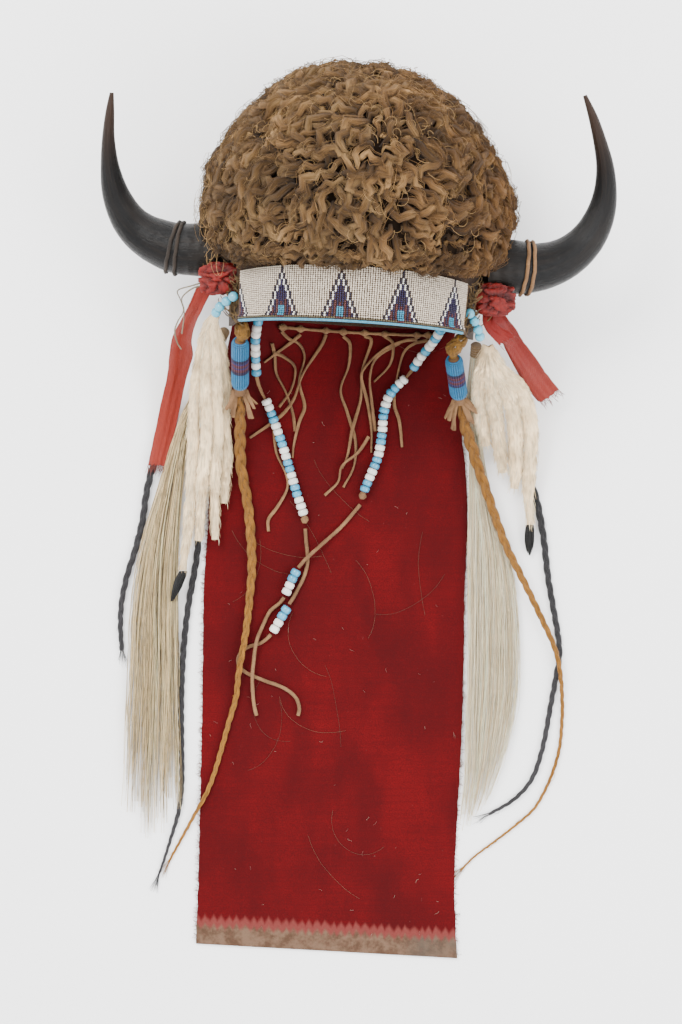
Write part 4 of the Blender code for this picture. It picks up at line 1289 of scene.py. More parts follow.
class Strands:
    """Lines that grow into strands."""

    def __init__(self) -> None:
        """Starts with no line."""
        self.points: list[Vector] = []
        self.edges: list[tuple[int, int]] = []
        self.tints: list[Colour] = []
        self.thicks: list[float] = []
        self.looses: list[float] = []
        self.flows: list[float] = []
        self.owns: list[float] = []

    def add(self, points: list[Vector], thicks: list[float], tints: list[Colour],
            looses: list[float] | None = None) -> None:
        """Adds a line.

        Args:
            points: its points.
            thicks: its half thickness at each.
            tints: its colour at each.
            looses: how far each may wander, from 0 to 1.
        """
        base = len(self.points)
        self.points.extend(points)
        self.edges.extend((base + i, base + i + 1) for i in range(len(points) - 1))
        self.thicks.extend(thicks)
        self.tints.extend(tints)
        self.looses.extend(looses or [i / (len(points) - 1) for i in range(len(points))])
        flow = 0.0
        for i, point in enumerate(points):
            flow += (point - points[i - 1]).length if i else 0.0
            self.flows.append(flow)
            self.owns.append((base * 0.618) % 1.0)

    def grow(self, name: str, finish: Material, sides: int, wander: float, scale: float,
             seed: float) -> Object:
        """Grows the strands.

        Args:
            name: the object's name.
            finish: its material.
            sides: how many sides a strand has.
            wander: how far its points wander, in metres.
            scale: how quickly that changes, per metre.
            seed: the seed of the wandering.

        Returns:
            The object.
        """
        mesh = bpy.data.meshes.new(name + "_lines")
        mesh.from_pydata([tuple(p) for p in self.points], self.edges, [])
        keep(mesh, "tint", opaque(self.tints), "FLOAT_COLOR")
        keep(mesh, "thick", self.thicks)
        keep(mesh, "loose", self.looses)
        keep(mesh, "flow", self.flows)
        keep(mesh, "own", self.owns)
        return grown(name, mesh, STRAND_TREE, {
            "Sides": sides, "Wander": wander, "Wander Scale": scale, "Seed": seed, "Finish": finish,
        })


class Beads:
    """Points that grow into beads."""

    def __init__(self) -> None:
        """Starts with no bead."""
        self.points: list[Vector] = []
        self.axes: list[Vector] = []
        self.wides: list[float] = []
        self.longs: list[float] = []
        self.tints: list[Colour] = []

    def add(self, point: Sequence[float], axis: Vector, wide: float, long: float, tint: Colour) -> None:
        """Adds a bead.

        Args:
            point: its middle.
            axis: the direction of its hole.
            wide: its thickness.
            long: its length along the hole.
            tint: its colour.
        """
        self.points.append(Vector(point))
        self.axes.append(axis)
        self.wides.append(wide)
        self.longs.append(long)
        self.tints.append(tint)

    def grow(self, name: str, finish: Material, sides: int, rings: int, narrow: float,
             power: float) -> Object:
        """Grows the beads.

        Args:
            name: the object's name.
            finish: its material.
            sides: how many sides a bead has.
            rings: how many rows of faces it has along its hole.
            narrow: how much narrower its ends are.
            power: how square its shoulders are.

        Returns:
            The object.
        """
        mesh = bpy.data.meshes.new(name + "_points")
        mesh.from_pydata([tuple(p) for p in self.points], [], [])
        keep(mesh, "axis", [value for axis in self.axes for value in axis], "FLOAT_VECTOR")
        keep(mesh, "wide", self.wides)
        keep(mesh, "long", self.longs)
        keep(mesh, "tint", opaque(self.tints), "FLOAT_COLOR")
        return grown(name, mesh, BEAD_TREE, {
            "Sides": sides, "Rings": rings, "Round": narrow, "Power": power, "Finish": finish,
        })


STRAND_TREE = strand_tree()
BEAD_TREE = bead_tree()


class Glass(Enum):
    """The colours of the beads."""

    CREAM = (0.50, 0.425, 0.335)
    WHITE = (0.62, 0.60, 0.56)
    SKY = (0.045, 0.235, 0.370)
    PALE_SKY = (0.070, 0.290, 0.390)
    NAVY = (0.0065, 0.0028, 0.0320)
    DARK = (0.0070, 0.0045, 0.0140)
    CYAN = (0.022, 0.190, 0.300)
    BRICK = (0.062, 0.011, 0.013)
    AZURE = (0.008, 0.115, 0.240)
    MOSS = (0.070, 0.055, 0.028)
    ROYAL = (0.0080, 0.0140, 0.0950)
    PLUM = (0.085, 0.012, 0.028)


@dataclass
class BrowBand:
    """The beaded brow band."""

    tall: float = 0.038
    bottom: float = -0.005
    end_bottom_drop: float = 0.002
    end_top_drop: float = 0.0055
    half_angle: float = math.radians(61)
    skin: float = 0.0036
    roll: float = 0.0012
    roll_tall: float = 0.0035
    roll_rows: tuple = ((0.0002, 0.0013), (-0.0004, 0.0009), (-0.0007, -0.0004))
    edging: float = 0.0012
    column: float = 0.00175
    rows: int = 26
    period: int = 25
    shift: int = 5
    steps: int = 8

    def colour(self, column: int, row: int) -> Colour:
        """Gives a seed bead's colour: stepped triangles whose points are at the upper edge.

        Args:
            column: its column, counted from the middle.
            row: its row, counted from the lower edge.

        Returns:
            The colour.
        """
        off = abs((column + self.shift + self.period // 2) % self.period - self.period // 2)
        step = int((self.rows - 1 - row) * self.steps / self.rows)
        if row == 0:
            return Glass.MOSS.value if off > 1 else Glass.BRICK.value
        if off > step:
            return Glass.CREAM.value
        if off == step:
            return Glass.DARK.value
        if off == step - 1:
            return Glass.WHITE.value
        if 1 <= row <= 5 and off <= 1:
            return Glass.CYAN.value
        if (row <= 8 and off == 2) or (row in (6, 7) and off == 0) or (row <= 4 and off == 4):
            return Glass.BRICK.value
        return Glass.NAVY.value

    def angles(self) -> list[float]:
        """Gives the angle of each column, evenly spaced along the band.

        Returns:
            The angles.
        """
        fine = 400
        spots = [self.half_angle * (2 * k / fine - 1) for k in range(fine + 1)]
        places = [CAP.point(a, self.bottom + self.tall / 2, self.skin) for a in spots]
        along = [0.0]
        for a, b in zip(places, places[1:]):
            along.append(along[-1] + (b - a).length)
        half = int((along[-1] / 2 - self.column) / self.column)
        out = []
        for column in range(-half, half + 1):
            target = along[-1] / 2 + column * self.column
            out.append(between(list(zip(along, spots)), target))
        return out

    def build(self, bead: Material, backing: Material) -> None:
        """Makes the band.

        Args:
            bead: the beads' finish.
            backing: the finish of the hide behind them.
        """
        pick = random.Random(5)
        angles = self.angles()
        half = len(angles) // 2
        seeds = Beads()
        for i, angle in enumerate(angles):
            side = angle / self.half_angle
            low = self.bottom - self.end_bottom_drop * side * side + self.edging
            high = self.bottom + self.tall - self.end_top_drop * side * side
            pitch = (high - low) / self.rows
            for row in range(self.rows):
                up = low + pitch * (row + 0.5) + pick.uniform(-0.07, 0.07) * pitch
                spot = angle + pick.uniform(-0.06, 0.06) * self.column / CAP.half_width
                on_roll = max(0.0, min(1.0, (low + self.roll_tall - up) / self.roll_tall * 2.0))
                point = CAP.point(spot, up, self.skin + 0.00025 + self.roll * on_roll)
                axis = CAP.point(spot, up + 0.001, self.skin) - CAP.point(spot, up - 0.001, self.skin)
                tint = shaded(self.colour(i - half, row), pick.uniform(0.86, 1.10))
                wide = self.column * pick.uniform(0.86, 0.96)
                seeds.add(point, axis, wide, pitch * pick.uniform(0.82, 0.93), tint)
        beads = seeds.grow("brow_band_beads", bead, 6, 2, 0.42, 2.0)
        roll = Beads()
        for i in range(len(angles) - 1):
            for part in range(2):
                angle = angles[i] + (angles[i + 1] - angles[i]) * (part + 0.25) / 2
                side = angle / self.half_angle
                low = self.bottom - self.end_bottom_drop * side * side
                for turn, (up, out) in enumerate(self.roll_rows):
                    lean = angle + (turn - 1) * 0.0006 / CAP.half_width
                    point = CAP.point(lean, low + up, self.skin + out)
                    ahead = CAP.point(lean + 0.004, low + up + 0.0016, self.skin)
                    axis = ahead - CAP.point(lean, low + up, self.skin)
                    base = mixed(Glass.PALE_SKY.value, Glass.SKY.value, pick.random())
                    roll.add(point, axis, 0.00125, 0.00110, shaded(base, pick.uniform(0.62, 0.86)))
        edge = roll.grow("brow_band_edge_beads", bead, 7, 2, 0.42, 2.0)
        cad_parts["brow_band"].material_slots[0].material = backing


@dataclass
class Dome:
    """The hide cap and the wool on it."""

    sides: int = 96
    rows: int = 26
    wall: float = 0.003
    parting: tuple[float, float, float] = (0.017, 0.106, 0.190)
    middle: tuple[float, float, float] = (0.004, 0.075, 0.090)
    # Painted shade: the undercoat's near-black colour stands for the shade in the gaps between the locks.
    undercoat_shade: Colour = (0.0105, 0.0056, 0.0028)
    # Lock colours from root to tip: the near-black root is painted shade deep in the wool; the light tip is
    # the wool's paler ends, partly painted highlight.
    root: Colour = (0.020, 0.0105, 0.0045)
    body: Colour = (0.122, 0.065, 0.0245)
    tip: Colour = (0.345, 0.212, 0.090)
    seen_above: float = 0.055
    locks: int = 1130
    edge_locks: int = 170
    fillers: int = 180
    bare_gap: float = 0.0043
    fibres: int = 5
    lock_long: float = 0.031
    lock_half: float = 0.0027
    fibre_half: float = 0.00024
    points: int = 8
    strays: int = 640
    wisps: int = 90
    temple_hairs: int = 56
    apart: float = 0.0082

    def hide(self, finish: Material) -> None:
        """Makes the hollow hide cap.

        Args:
            finish: its material.
        """
        maker = MeshMaker()
        angles = [-math.pi + 2 * math.pi * k / self.sides for k in range(self.sides)]
        layers = []
        for out in (0.0, -self.wall):
            rings = []
            for k in range(self.rows):
                share = k / self.rows
                up = CAP.tall * math.sin(share * math.pi / 2) ** (2 / CAP.fullness)
                drop = (1 - share) ** 3
                rings.append([maker.add(CAP.point(a, up + CAP.rim(a) * drop, out)) for a in angles])
            layers.append(rings)
        maker.shell(layers, [maker.add(CAP.top(0.0)), maker.add(CAP.top(-self.wall))])
        made = maker.build("hide_cap", finish)
        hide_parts("cap_hide")

    def under_wool(self, finish: Material) -> Object:
        """Makes the wool under the locks, painted near black as the shade in the gaps between them.

        Args:
            finish: its material.

        Returns:
            The object.
        """
        maker = MeshMaker()
        angles = [-math.pi + 2 * math.pi * k / self.sides for k in range(self.sides)]
        layers = []
        for fill in (0.72, 0.06):
            side = []
            for k in range(self.rows):
                share = k / self.rows
                ring = []
                for a in angles:
                    point = CAP.wool_point(a, share, fill * (self.fullness(a, share) if fill > 0.5 else 1.0))
                    if fill > 0.5:
                        lump = field.noise(point * 70.0) * 0.0022 + field.noise(point * 190.0) * 0.0012
                        point = point + (point - Vector((0.004, 0.07, 0.09))).normalized() * lump
                        point.z = max(point.z, WOOL_CLEAR)
                    # Painted shade: the undercoat is toned near black, a little unevenly, as the shade
                    # between the locks.
                    level = 0.75 + 0.5 * field.noise(point * 110.0)
                    ring.append(maker.add(point, shaded(self.undercoat_shade, level)))
                side.append(ring)
            layers.append(side)
        tops = [maker.add(CAP.top(CAP.wool_crown_deep * fill), self.undercoat_shade) for fill in (0.72, 0.06)]
        maker.shell(layers, tops)
        return maker.build("wool_undercoat", finish)

    def starts(self, pick: random.Random) -> list[tuple[float, float]]:
        """Chooses where the locks are rooted.

        Args:
            pick: the source of chance.

        Returns:
            Pairs of angle and share on the wool.
        """
        out = []
        taken: dict[tuple[int, int, int], int] = {}
        tries = 0
        while len(out) < self.locks:
            tries += 1
            most = 1 + tries // (self.locks * 9)
            angle, share = pick.uniform(-math.pi, math.pi), pick.random()
            point = CAP.wool_point(angle, share, 0.9)
            seen = 1.0 if point.z > self.seen_above else 0.22
            cell = tuple(round(value / self.apart) for value in point)
            if taken.get(cell, 0) < most and pick.random() < seen:
                taken[cell] = taken.get(cell, 0) + 1
                out.append((angle, share))
        return out

    def bare(self, laid: list[Vector], pick: random.Random) -> list[tuple[float, float]]:
        """Finds where the undercoat shows between the locks, the widest gaps first.

        Args:
            laid: points along the locks.
            pick: the source of chance.

        Returns:
            Pairs of angle and share on the wool.
        """
        known = KDTree(len(laid))
        for k, point in enumerate(laid):
            known.insert(point, k)
        known.balance()
        found = []
        for _ in range(self.fillers * 90):
            angle, share = pick.uniform(-math.pi, math.pi), pick.random()
            point = CAP.wool_point(angle, share, 0.76 * self.fullness(angle, share))
            gap = known.find(point)[2]
            if point.z > self.seen_above and gap > self.bare_gap:
                found.append((gap * (1.0 if point.z > 0.12 else 0.4), angle, share, point))
        found.sort(key=lambda row: -row[0])
        chosen: list[Vector] = []
        out = []
        for _, angle, share, point in found:
            if len(out) == self.fillers:
                break
            if all((point - other).length > self.bare_gap * 1.5 for other in chosen):
                chosen.append(point)
                out.append((angle, share))
        return out

    def fullness(self, angle: float, share: float) -> float:
        """Gives how full the wool is: thinner at the upper corners, lumpy all round.

        Args:
            angle: from the front of the cap towards +X.
            share: from the wool's edge at 0 to the crown at 1.

        Returns:
            The share of its full depth.
        """
        corner = math.exp(-(((abs(angle) - 1.45) / 0.60) ** 2) - ((share - 0.52) / 0.27) ** 2)
        lump = field.noise(CAP.point(angle, CAP.wool_up(angle, share), 0.0) * 24.0)
        return 1.0 - (0.36 if angle > 0 else 0.22) * corner + 0.10 * lump

    def wool(self, finish: Material, under: Material) -> None:
        """Makes the wool: an undercoat painted near black as the shade between the locks, curly locks and the
        fibres round them.

        Args:
            finish: the locks' and fibres' finish.
            under: the undercoat's finish.
        """
        coat = self.under_wool(under)
        tree = surface(coat.data)
        pick = random.Random(11)
        parting = Vector(self.parting)
        middle = Vector(self.middle)
        combed = [(math.radians(pick.uniform(-80, 80)), pick.uniform(0.0, 0.035))
                  for _ in range(self.edge_locks)]
        bodies = Strands()
        fine = [Strands(), Strands()]
        seats = combed + self.starts(pick)
        planned = len(seats)
        laid: list[Vector] = []
        rounds = 3
        number = -1
        while number + 1 < len(seats):
            number += 1
            if number == len(seats) - 1 and rounds > 0:
                rounds -= 1
                room = self.fillers - (len(seats) - planned)
                seats.extend(self.bare(laid, pick)[:room])
                LOG.info("locks over bare places: %d", len(seats) - planned)
            angle, share = seats[number]
            is_combed = number < len(combed)
            is_filler = number >= planned
            place = CAP.wool_point(angle, share, (0.55 if is_combed else 0.74) * self.fullness(angle, share))
            edge_on = share < 0.10
            near_parting = (place - parting).length < 0.030
            long = self.lock_long * pick.uniform(0.7, 1.35)
            long *= 0.55 if edge_on else 0.85 if near_parting else 1.0
            half = self.lock_half * pick.uniform(0.75, 1.35) * (0.7 if edge_on else 1.0)
            step = long / (self.points - 1)
            astray = pick.uniform(-0.45, 0.45) * (3.5 if near_parting else 1.0)
            swirl = 1.5 * field.noise(place * 34.0) + astray
            curl = pick.choice((-1, 1)) * pick.uniform(0.7, 3.0)
            waves = pick.uniform(1.6, 3.0)
            phase = pick.uniform(0, 2 * math.pi)
            tone = pick.uniform(0.55, 1.25) * (0.97 + 0.75 * field.noise(place * 26.0))
            tone *= 1.0 + 0.28 * max(0.0, min(1.0, (place.y - 0.100) / 0.050))
            red = 0.12 * max(0.0, place.x / 0.09)
            line, normals, acrosses = [], [], []
            spot = place.copy()
            heading = Vector((math.cos(phase), math.sin(phase), 0.0))
            if is_filler:
                swirl = 0.0
                spot -= heading * long * 0.45
            for k in range(self.points):
                reach = k / (self.points - 1)
                found, normal, _, _ = tree.find_nearest(spot)
                outward = (found - middle).normalized()
                if normal.dot(outward) < 0:
                    normal = -normal
                normal = (normal * 0.4 + outward * 0.6).normalized()
                away = heading if is_filler else found - parting
                away = away - normal * away.dot(normal)
                if away.length < 0.012:
                    away = Vector((math.cos(phase), math.sin(phase), 0.1))
                    away -= normal * away.dot(normal)
                away.normalize()
                side = normal.cross(away)
                turn = swirl + curl * reach * reach * 1.1
                ahead = away * math.cos(turn) + side * math.sin(turn)
                if is_combed:
                    ahead = Vector((-1.0 if place.x < 0.02 else 1.0, 0.10 * math.sin(turn) - 0.06, 0.0))
                    ahead = (ahead - normal * ahead.dot(normal)).normalized()
                across = normal.cross(ahead).normalized()
                wave = math.sin(2 * math.pi * waves * reach + phase)
                swing = math.cos(2 * math.pi * waves * reach + phase) * reach
                rise = half * (0.35 + 1.7 * math.sin(math.pi * min(1.0, reach * 1.15)) + 0.5 * swing)
                point = found + normal * rise + across * wave * half * 0.75
                point.z = max(point.z, half * 0.8)
                line.append(point)
                normals.append(normal)
                acrosses.append(across)
                spot = found + ahead * step
            thicks = [half * (0.45 + 0.75 * math.sin(math.pi * min(1.0, 0.12 + 0.88 * k / (self.points - 1))))
                      for k in range(self.points)]
            thicks[-1] = half * 0.10
            # The tints run from painted shade at the root through the mid brown to paler tips that are partly
            # painted highlight.
            tints = []
            for k in range(self.points):
                reach = k / (self.points - 1)
                if reach < 0.4:
                    colour = mixed(self.root, self.body, min(1.0, reach * 2.6))
                else:
                    colour = mixed(self.body, self.tip, (reach - 0.4) / 0.6)
                colour = (colour[0] * (1 + red), colour[1], colour[2] * (1 - red))
                tints.append(shaded(colour, tone))
            laid.extend(line)
            # Painted shade: each lock's core is tinted at 0.72 of its colours, darker than the fibres round
            # it, for the shade inside the lock.
            bodies.add(line, [thick * 0.78 for thick in thicks], [shaded(colour, 0.72) for colour in tints])
            self.fibres_round(fine[number % 2], line, normals, acrosses, thicks, tints, pick)
        flying = self.flying(pick)
        locks = bodies.grow("wool_locks", finish, 5, 0.0013, 150.0, 3.0)
        pieces = [coat, locks, flying.grow("wool_strays", finish, 3, 0.0010, 240.0, 9.0)]
        for k, strands in enumerate(fine):
            pieces.append(strands.grow(f"wool_fibres_{'ab'[k]}", finish, 3, 0.0010, 240.0, 7.0 + k))
        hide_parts("cap_wool")

    def fibres_round(self, fine: Strands, line: list[Vector], normals: list[Vector], acrosses: list[Vector],
                     thicks: list[float], tints: list[Colour], pick: random.Random) -> None:
        """Adds the fibres round one lock.

        Args:
            fine: the strands that they join.
            line: the lock's points.
            normals: the direction away from the cap at each.
            acrosses: the direction across the lock at each.
            thicks: the lock's half thickness at each.
            tints: its colour at each.
            pick: the source of chance.
        """
        for strand in range(self.fibres):
            around = 2 * math.pi * (strand + pick.random()) / self.fibres
            twist = pick.uniform(-2.4, 2.4)
            spread = pick.uniform(0.80, 1.75)
            points = []
            for k in range(self.points):
                reach = k / (self.points - 1)
                a = around + twist * reach
                off = thicks[k] * spread + (0.0012 * pick.random() * reach if k > self.points - 3 else 0.0)
                outset = abs(math.cos(a)) if math.cos(a) < 0 and pick.random() < 0.5 else math.cos(a)
                point = line[k] + normals[k] * outset * off + acrosses[k] * math.sin(a) * off
                point.z = max(point.z, HAIR_CLEAR)
                points.append(point)
            if pick.random() < 0.25:
                points[-1] = points[-1] + normals[-1] * pick.uniform(0.0005, 0.0030)
            level = pick.uniform(0.75, 1.45)
            halves = [self.fibre_half * (1.0 - 0.6 * k / self.points) for k in range(1, self.points)]
            fine.add(points[1:], halves, [shaded(colour, level) for colour in tints[1:]])

    def flying(self, pick: random.Random) -> Strands:
        """Makes the single hairs that stand off the wool, and the dark ones at the temples.

        Args:
            pick: the source of chance.

        Returns:
            The hairs, not grown yet.
        """
        middle, parting = Vector(self.middle), Vector(self.parting)
        flying = Strands()
        low_left = [(math.radians(pick.uniform(-112, -66)), pick.uniform(0.0, 0.2))
                    for _ in range(self.wisps)]
        temples = [(math.radians(pick.choice((-1, 1)) * pick.uniform(60, 76)), -pick.uniform(0.001, 0.034))
                   for _ in range(self.temple_hairs * 2)]
        for angle, share in self.starts(pick)[: self.strays] + low_left + temples:
            at_temple = share < 0
            if at_temple:
                place = CAP.point(angle, -share - 0.004, 0.0015)
            else:
                place = CAP.wool_point(angle, share, 0.86 * self.fullness(angle, share))
            outward = (place - middle).normalized()
            away = place - parting
            away = (away - outward * away.dot(outward)).normalized()
            side = outward.cross(away)
            turn = pick.uniform(-1.2, 1.2)
            curl = pick.choice((-1, 1)) * pick.uniform(1.2, 4.6)
            long = pick.uniform(0.010, 0.022) * (2.1 if (angle, share) in low_left else 1.0)
            points = []
            for k in range(7):
                reach = k / 6
                angle_now = turn + curl * reach
                ahead = away * math.cos(angle_now) + side * math.sin(angle_now)
                place = place + (ahead * 0.85 + outward * (0.42 - 0.55 * reach)) * long / 6
                place.z = max(place.z, HAIR_CLEAR)
                points.append(place.copy())
            tone = pick.uniform(0.8, 1.5) * (0.36 if at_temple else 1.0)
            body = self.fibre_half * (3.2 if at_temple else 1.0)
            halves = [body * (0.9 - 0.6 * k / 7) for k in range(7)]
            flying.add(points, halves, [shaded(self.tip, tone)] * 7)
        return flying


@dataclass
class Horn:
    """A polished horn and the thong round its base."""

    side: str
    rows: tuple
    sides: int = 40
    flatness: float = 0.94
    lacing_thick: float = 0.0026
    lacing_start: float = 0.026
    lacing_pitch: float = 0.0052
    lacing_turns: float = 1.6

    def build(self, horn: Material, thong: Material) -> None:
        """Makes the horn and its lacing.

        Args:
            horn: the horn's finish.
            thong: the lacing's finish.
        """
        rows = smooth_route(scaled(self.rows), 0.004)
        maker = MeshMaker()
        wides = []
        for k, row in enumerate(rows):
            share = k / (len(rows) - 1)
            groove = 0.006 * math.sin(share * 90.0) * (1 - share) ** 2
            wides.append(row[3] * (1 + groove))
        maker.tube(rows, wides, [wide * self.flatness for wide in wides], self.sides, uneven=0.010)
        made = maker.build(f"horn_{self.side}_polished", horn, 80.0)
        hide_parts(f"horn_{self.side}")
        step = 0.0006
        axis = smooth_route(scaled(self.rows[:5]), step)
        first = round(self.lacing_start / step)
        count = 46
        route = []
        for k in range(count + 1):
            turn = 2 * math.pi * self.lacing_turns * k / count
            *at, thick = axis[first + round(self.lacing_pitch * self.lacing_turns * k / count / step)]
            ahead = axis[first + 2 + k // 6][:3]
            along = (Vector(ahead) - Vector(axis[first + k // 6][:3])).normalized()
            level, rise = square_pair(along)
            wide = thick / 2 + self.lacing_thick * 0.42
            tall = wide - thick * (1 - self.flatness) / 2
            route.append(Vector(at) + level * math.cos(turn) * wide + rise * math.sin(turn) * tall)
        lace = MeshMaker()
        lace.tube(route, self.lacing_thick, self.lacing_thick * 0.7, 8, uneven=0.12)
        wrap = lace.build(f"horn_{self.side}_wrap", thong)
        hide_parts(f"horn_lacing_{self.side}")


@dataclass
class Trailer:
    """The red wool trade cloth."""

    thick: float = 0.0015
    tucked: float = 0.010
    across: int = 64
    down: int = 150
    slant: float = 0.011

    def rows(self) -> list[list[Vector]]:
        """Gives the cloth's upper side as rows of points.

        Returns:
            The rows, from the cap down.
        """
        angles = (-70, -57, -44, -31, -18, -5, 5, 18, 31, 44, 58)
        table = (
            (-13, -88, 76, 0.80, 0.0), (-31, -94, 77.5, 0.50, 0.6), (-54, -99, 80, 0.25, 1.4),
            (-82, -102.5, 83.5, 0.09, 1.6), (-114, -104.8, 87, 0.0, 1.2), (-152, -106.6, 87.8, 0.0, 0.8),
            (-196, -109.6, 86, 0.0, 1.1), (-250, -110.3, 85.2, 0.0, 0.9), (-306, -111.2, 83.6, 0.0, 1.2),
            (-362, -112.4, 80.8, 0.0, 0.8), (-418, -113.8, 78.2, 0.0, 1.0), (-468.5, -115.5, 80.2, 0.0, 0.4),
        )
        turns = [math.radians(a) for a in angles]
        middle = angles.index(5)
        under = []
        for up in (self.tucked, 0.0):
            line = [CAP.point(math.pi - a, up, CAP.cloth) for a in turns]
            low = line[middle].z
            under.append([Vector((p.x, p.y, p.z - low)) for p in line])
        rim = [p.z for p in under[1]]
        first, last = turns[0], turns[-1]
        for r, (along, left, right, rise, wave) in enumerate(table):
            line = []
            for c, a in enumerate(turns):
                flat = (a - first) / (last - first)
                bent = (math.sin(a) - math.sin(first)) / (math.sin(last) - math.sin(first))
                share = flat + (bent - flat) * rise
                ripple = 0.5 - 0.5 * math.cos(2 * math.pi * (2.5 * flat + 0.37 * r))
                if c in (middle - 1, middle):
                    ripple = 0.0
                slant = self.slant * (0.5 - share) if r == len(table) - 1 else 0.0
                line.append(Vector(((left + (right - left) * share) * MM, along * MM + slant,
                                    max(0.0, rim[c] * rise) + wave * MM * ripple)))
            under.append(line)
        columns = []
        for line in under:
            columns.append([Vector(p) for p in smooth_route([list(p) for p in line], 0.0001)])
        fine = []
        for line in columns:
            fine.append([line[round(k * (len(line) - 1) / self.across)] for k in range(self.across + 1)])
        out = [[] for _ in range(self.down + 1)]
        for c in range(self.across + 1):
            track = smooth_route([list(row[c]) for row in fine], 0.0004)
            for r in range(self.down + 1):
                out[r].append(Vector(track[round(r * (len(track) - 1) / self.down)]))
        return out

    def build(self, cloth: Material, fuzz: Material) -> None:
        """Makes the trailer.

        Args:
            cloth: the cloth's finish.
            fuzz: the finish of the loose threads at its edges.
        """
        rows = self.rows()
        hems = []
        for r, row in enumerate(rows):
            end = rows[-1]
            hems.append([abs(row[c].y - end[c].y) for c in range(len(row))])
            for c, point in enumerate(row):
                point.z = max(point.z, 0.0) + self.thick
                if point.y < -0.012:
                    soft = field.noise(Vector((point.x * 26.0, point.y * 17.0, 0.4))) * 0.0007
                    fine = field.noise(Vector((point.x * 90.0, point.y * 60.0, 2.4))) * 0.0002
                    point.z += max(0.0, soft + fine) * min(1.0, (-0.012 - point.y) / 0.05)
                edge = min(c, len(row) - 1 - c)
                if edge == 0:
                    shift = field.noise(Vector((point.y * 130.0, 1.0 + c, 0.0))) * 0.0007
                    point.x += shift
        maker = MeshMaker()
        maker.sheet(rows, self.thick, hems=hems)
        made = maker.build("trade_cloth", cloth, 80.0)
        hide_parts("trailer")
        pick = random.Random(23)
        lint = Strands()
        pink, white = (0.30, 0.105, 0.09), (0.42, 0.33, 0.25)
        for c, count, out in ((0, 520, -1), (len(rows[0]) - 1, 260, 1)):
            for _ in range(count):
                r = pick.randrange(14, len(rows) - 1)
                start = rows[r][c] + Vector((0, 0, -pick.random() * self.thick))
                angle = pick.uniform(-1.2, 1.2)
                long = pick.uniform(0.0012, 0.0040)
                ahead = Vector((out * math.cos(angle), math.sin(angle), pick.uniform(-0.25, 0.35))) * long
                bend = Vector((pick.uniform(-1, 1), pick.uniform(-1, 1), 0.0)) * long * 0.35
                points = [start, start + ahead * 0.5 + bend, start + ahead]
                for point in points:
                    point.z = max(point.z, FINE_CLEAR)
                tint = mixed(mixed((0.12, 0.008, 0.009), pink, pick.random()), white, pick.random() * 0.6)
                lint.add(points, [0.00018, 0.00015, 0.00008], [tint] * 3, [0.0, 0.5, 1.0])
        for _ in range(70):
            r, c = pick.randrange(20, len(rows) - 3), pick.randrange(2, len(rows[0]) - 2)
            start = rows[r][c] + Vector((0, 0, 0.0004))
            angle = pick.uniform(0, 2 * math.pi)
            long = pick.uniform(0.001, 0.004)
            points = []
            for k in range(4):
                angle += pick.uniform(-0.8, 0.8)
                points.append(start.copy())
                start = start + Vector((math.cos(angle), math.sin(angle), 0.0)) * long / 3
            tint = mixed(pink, white, pick.random())
            lint.add(points, [0.00009] * 4, [tint] * 4, [0.2] * 4)
        for _ in range(17):
            r, c = pick.randrange(4, len(rows) - 20), pick.randrange(4, len(rows[0]) - 4)
            spot = Vector(rows[r][c])
            angle = pick.uniform(-2.4, -0.7)
            bend = pick.uniform(-0.16, 0.16)
            points = []
            for _ in range(16):
                near_row = min(range(len(rows)), key=lambda k: abs(rows[k][c].y - spot.y))
                near = min(rows[near_row], key=lambda p: abs(p.x - spot.x))
                points.append(Vector((spot.x, spot.y, near.z + 0.0005)))
                angle += bend + pick.uniform(-0.07, 0.07)
                spot = spot + Vector((math.cos(angle), math.sin(angle), 0.0)) * 0.0042
                if not rows[0][0].x - 0.004 < spot.x < rows[0][-1].x + 0.004 or spot.y < -0.465:
                    break
            tint = shaded((0.17, 0.085, 0.045), pick.uniform(0.4, 1.2))
            if len(points) > 3:
                lint.add(points, [0.00009] * len(points), [tint] * len(points), [0.1] * len(points))
        fringe = lint.grow("cloth_fuzz", fuzz, 3, 0.0004, 300.0, 2.0)


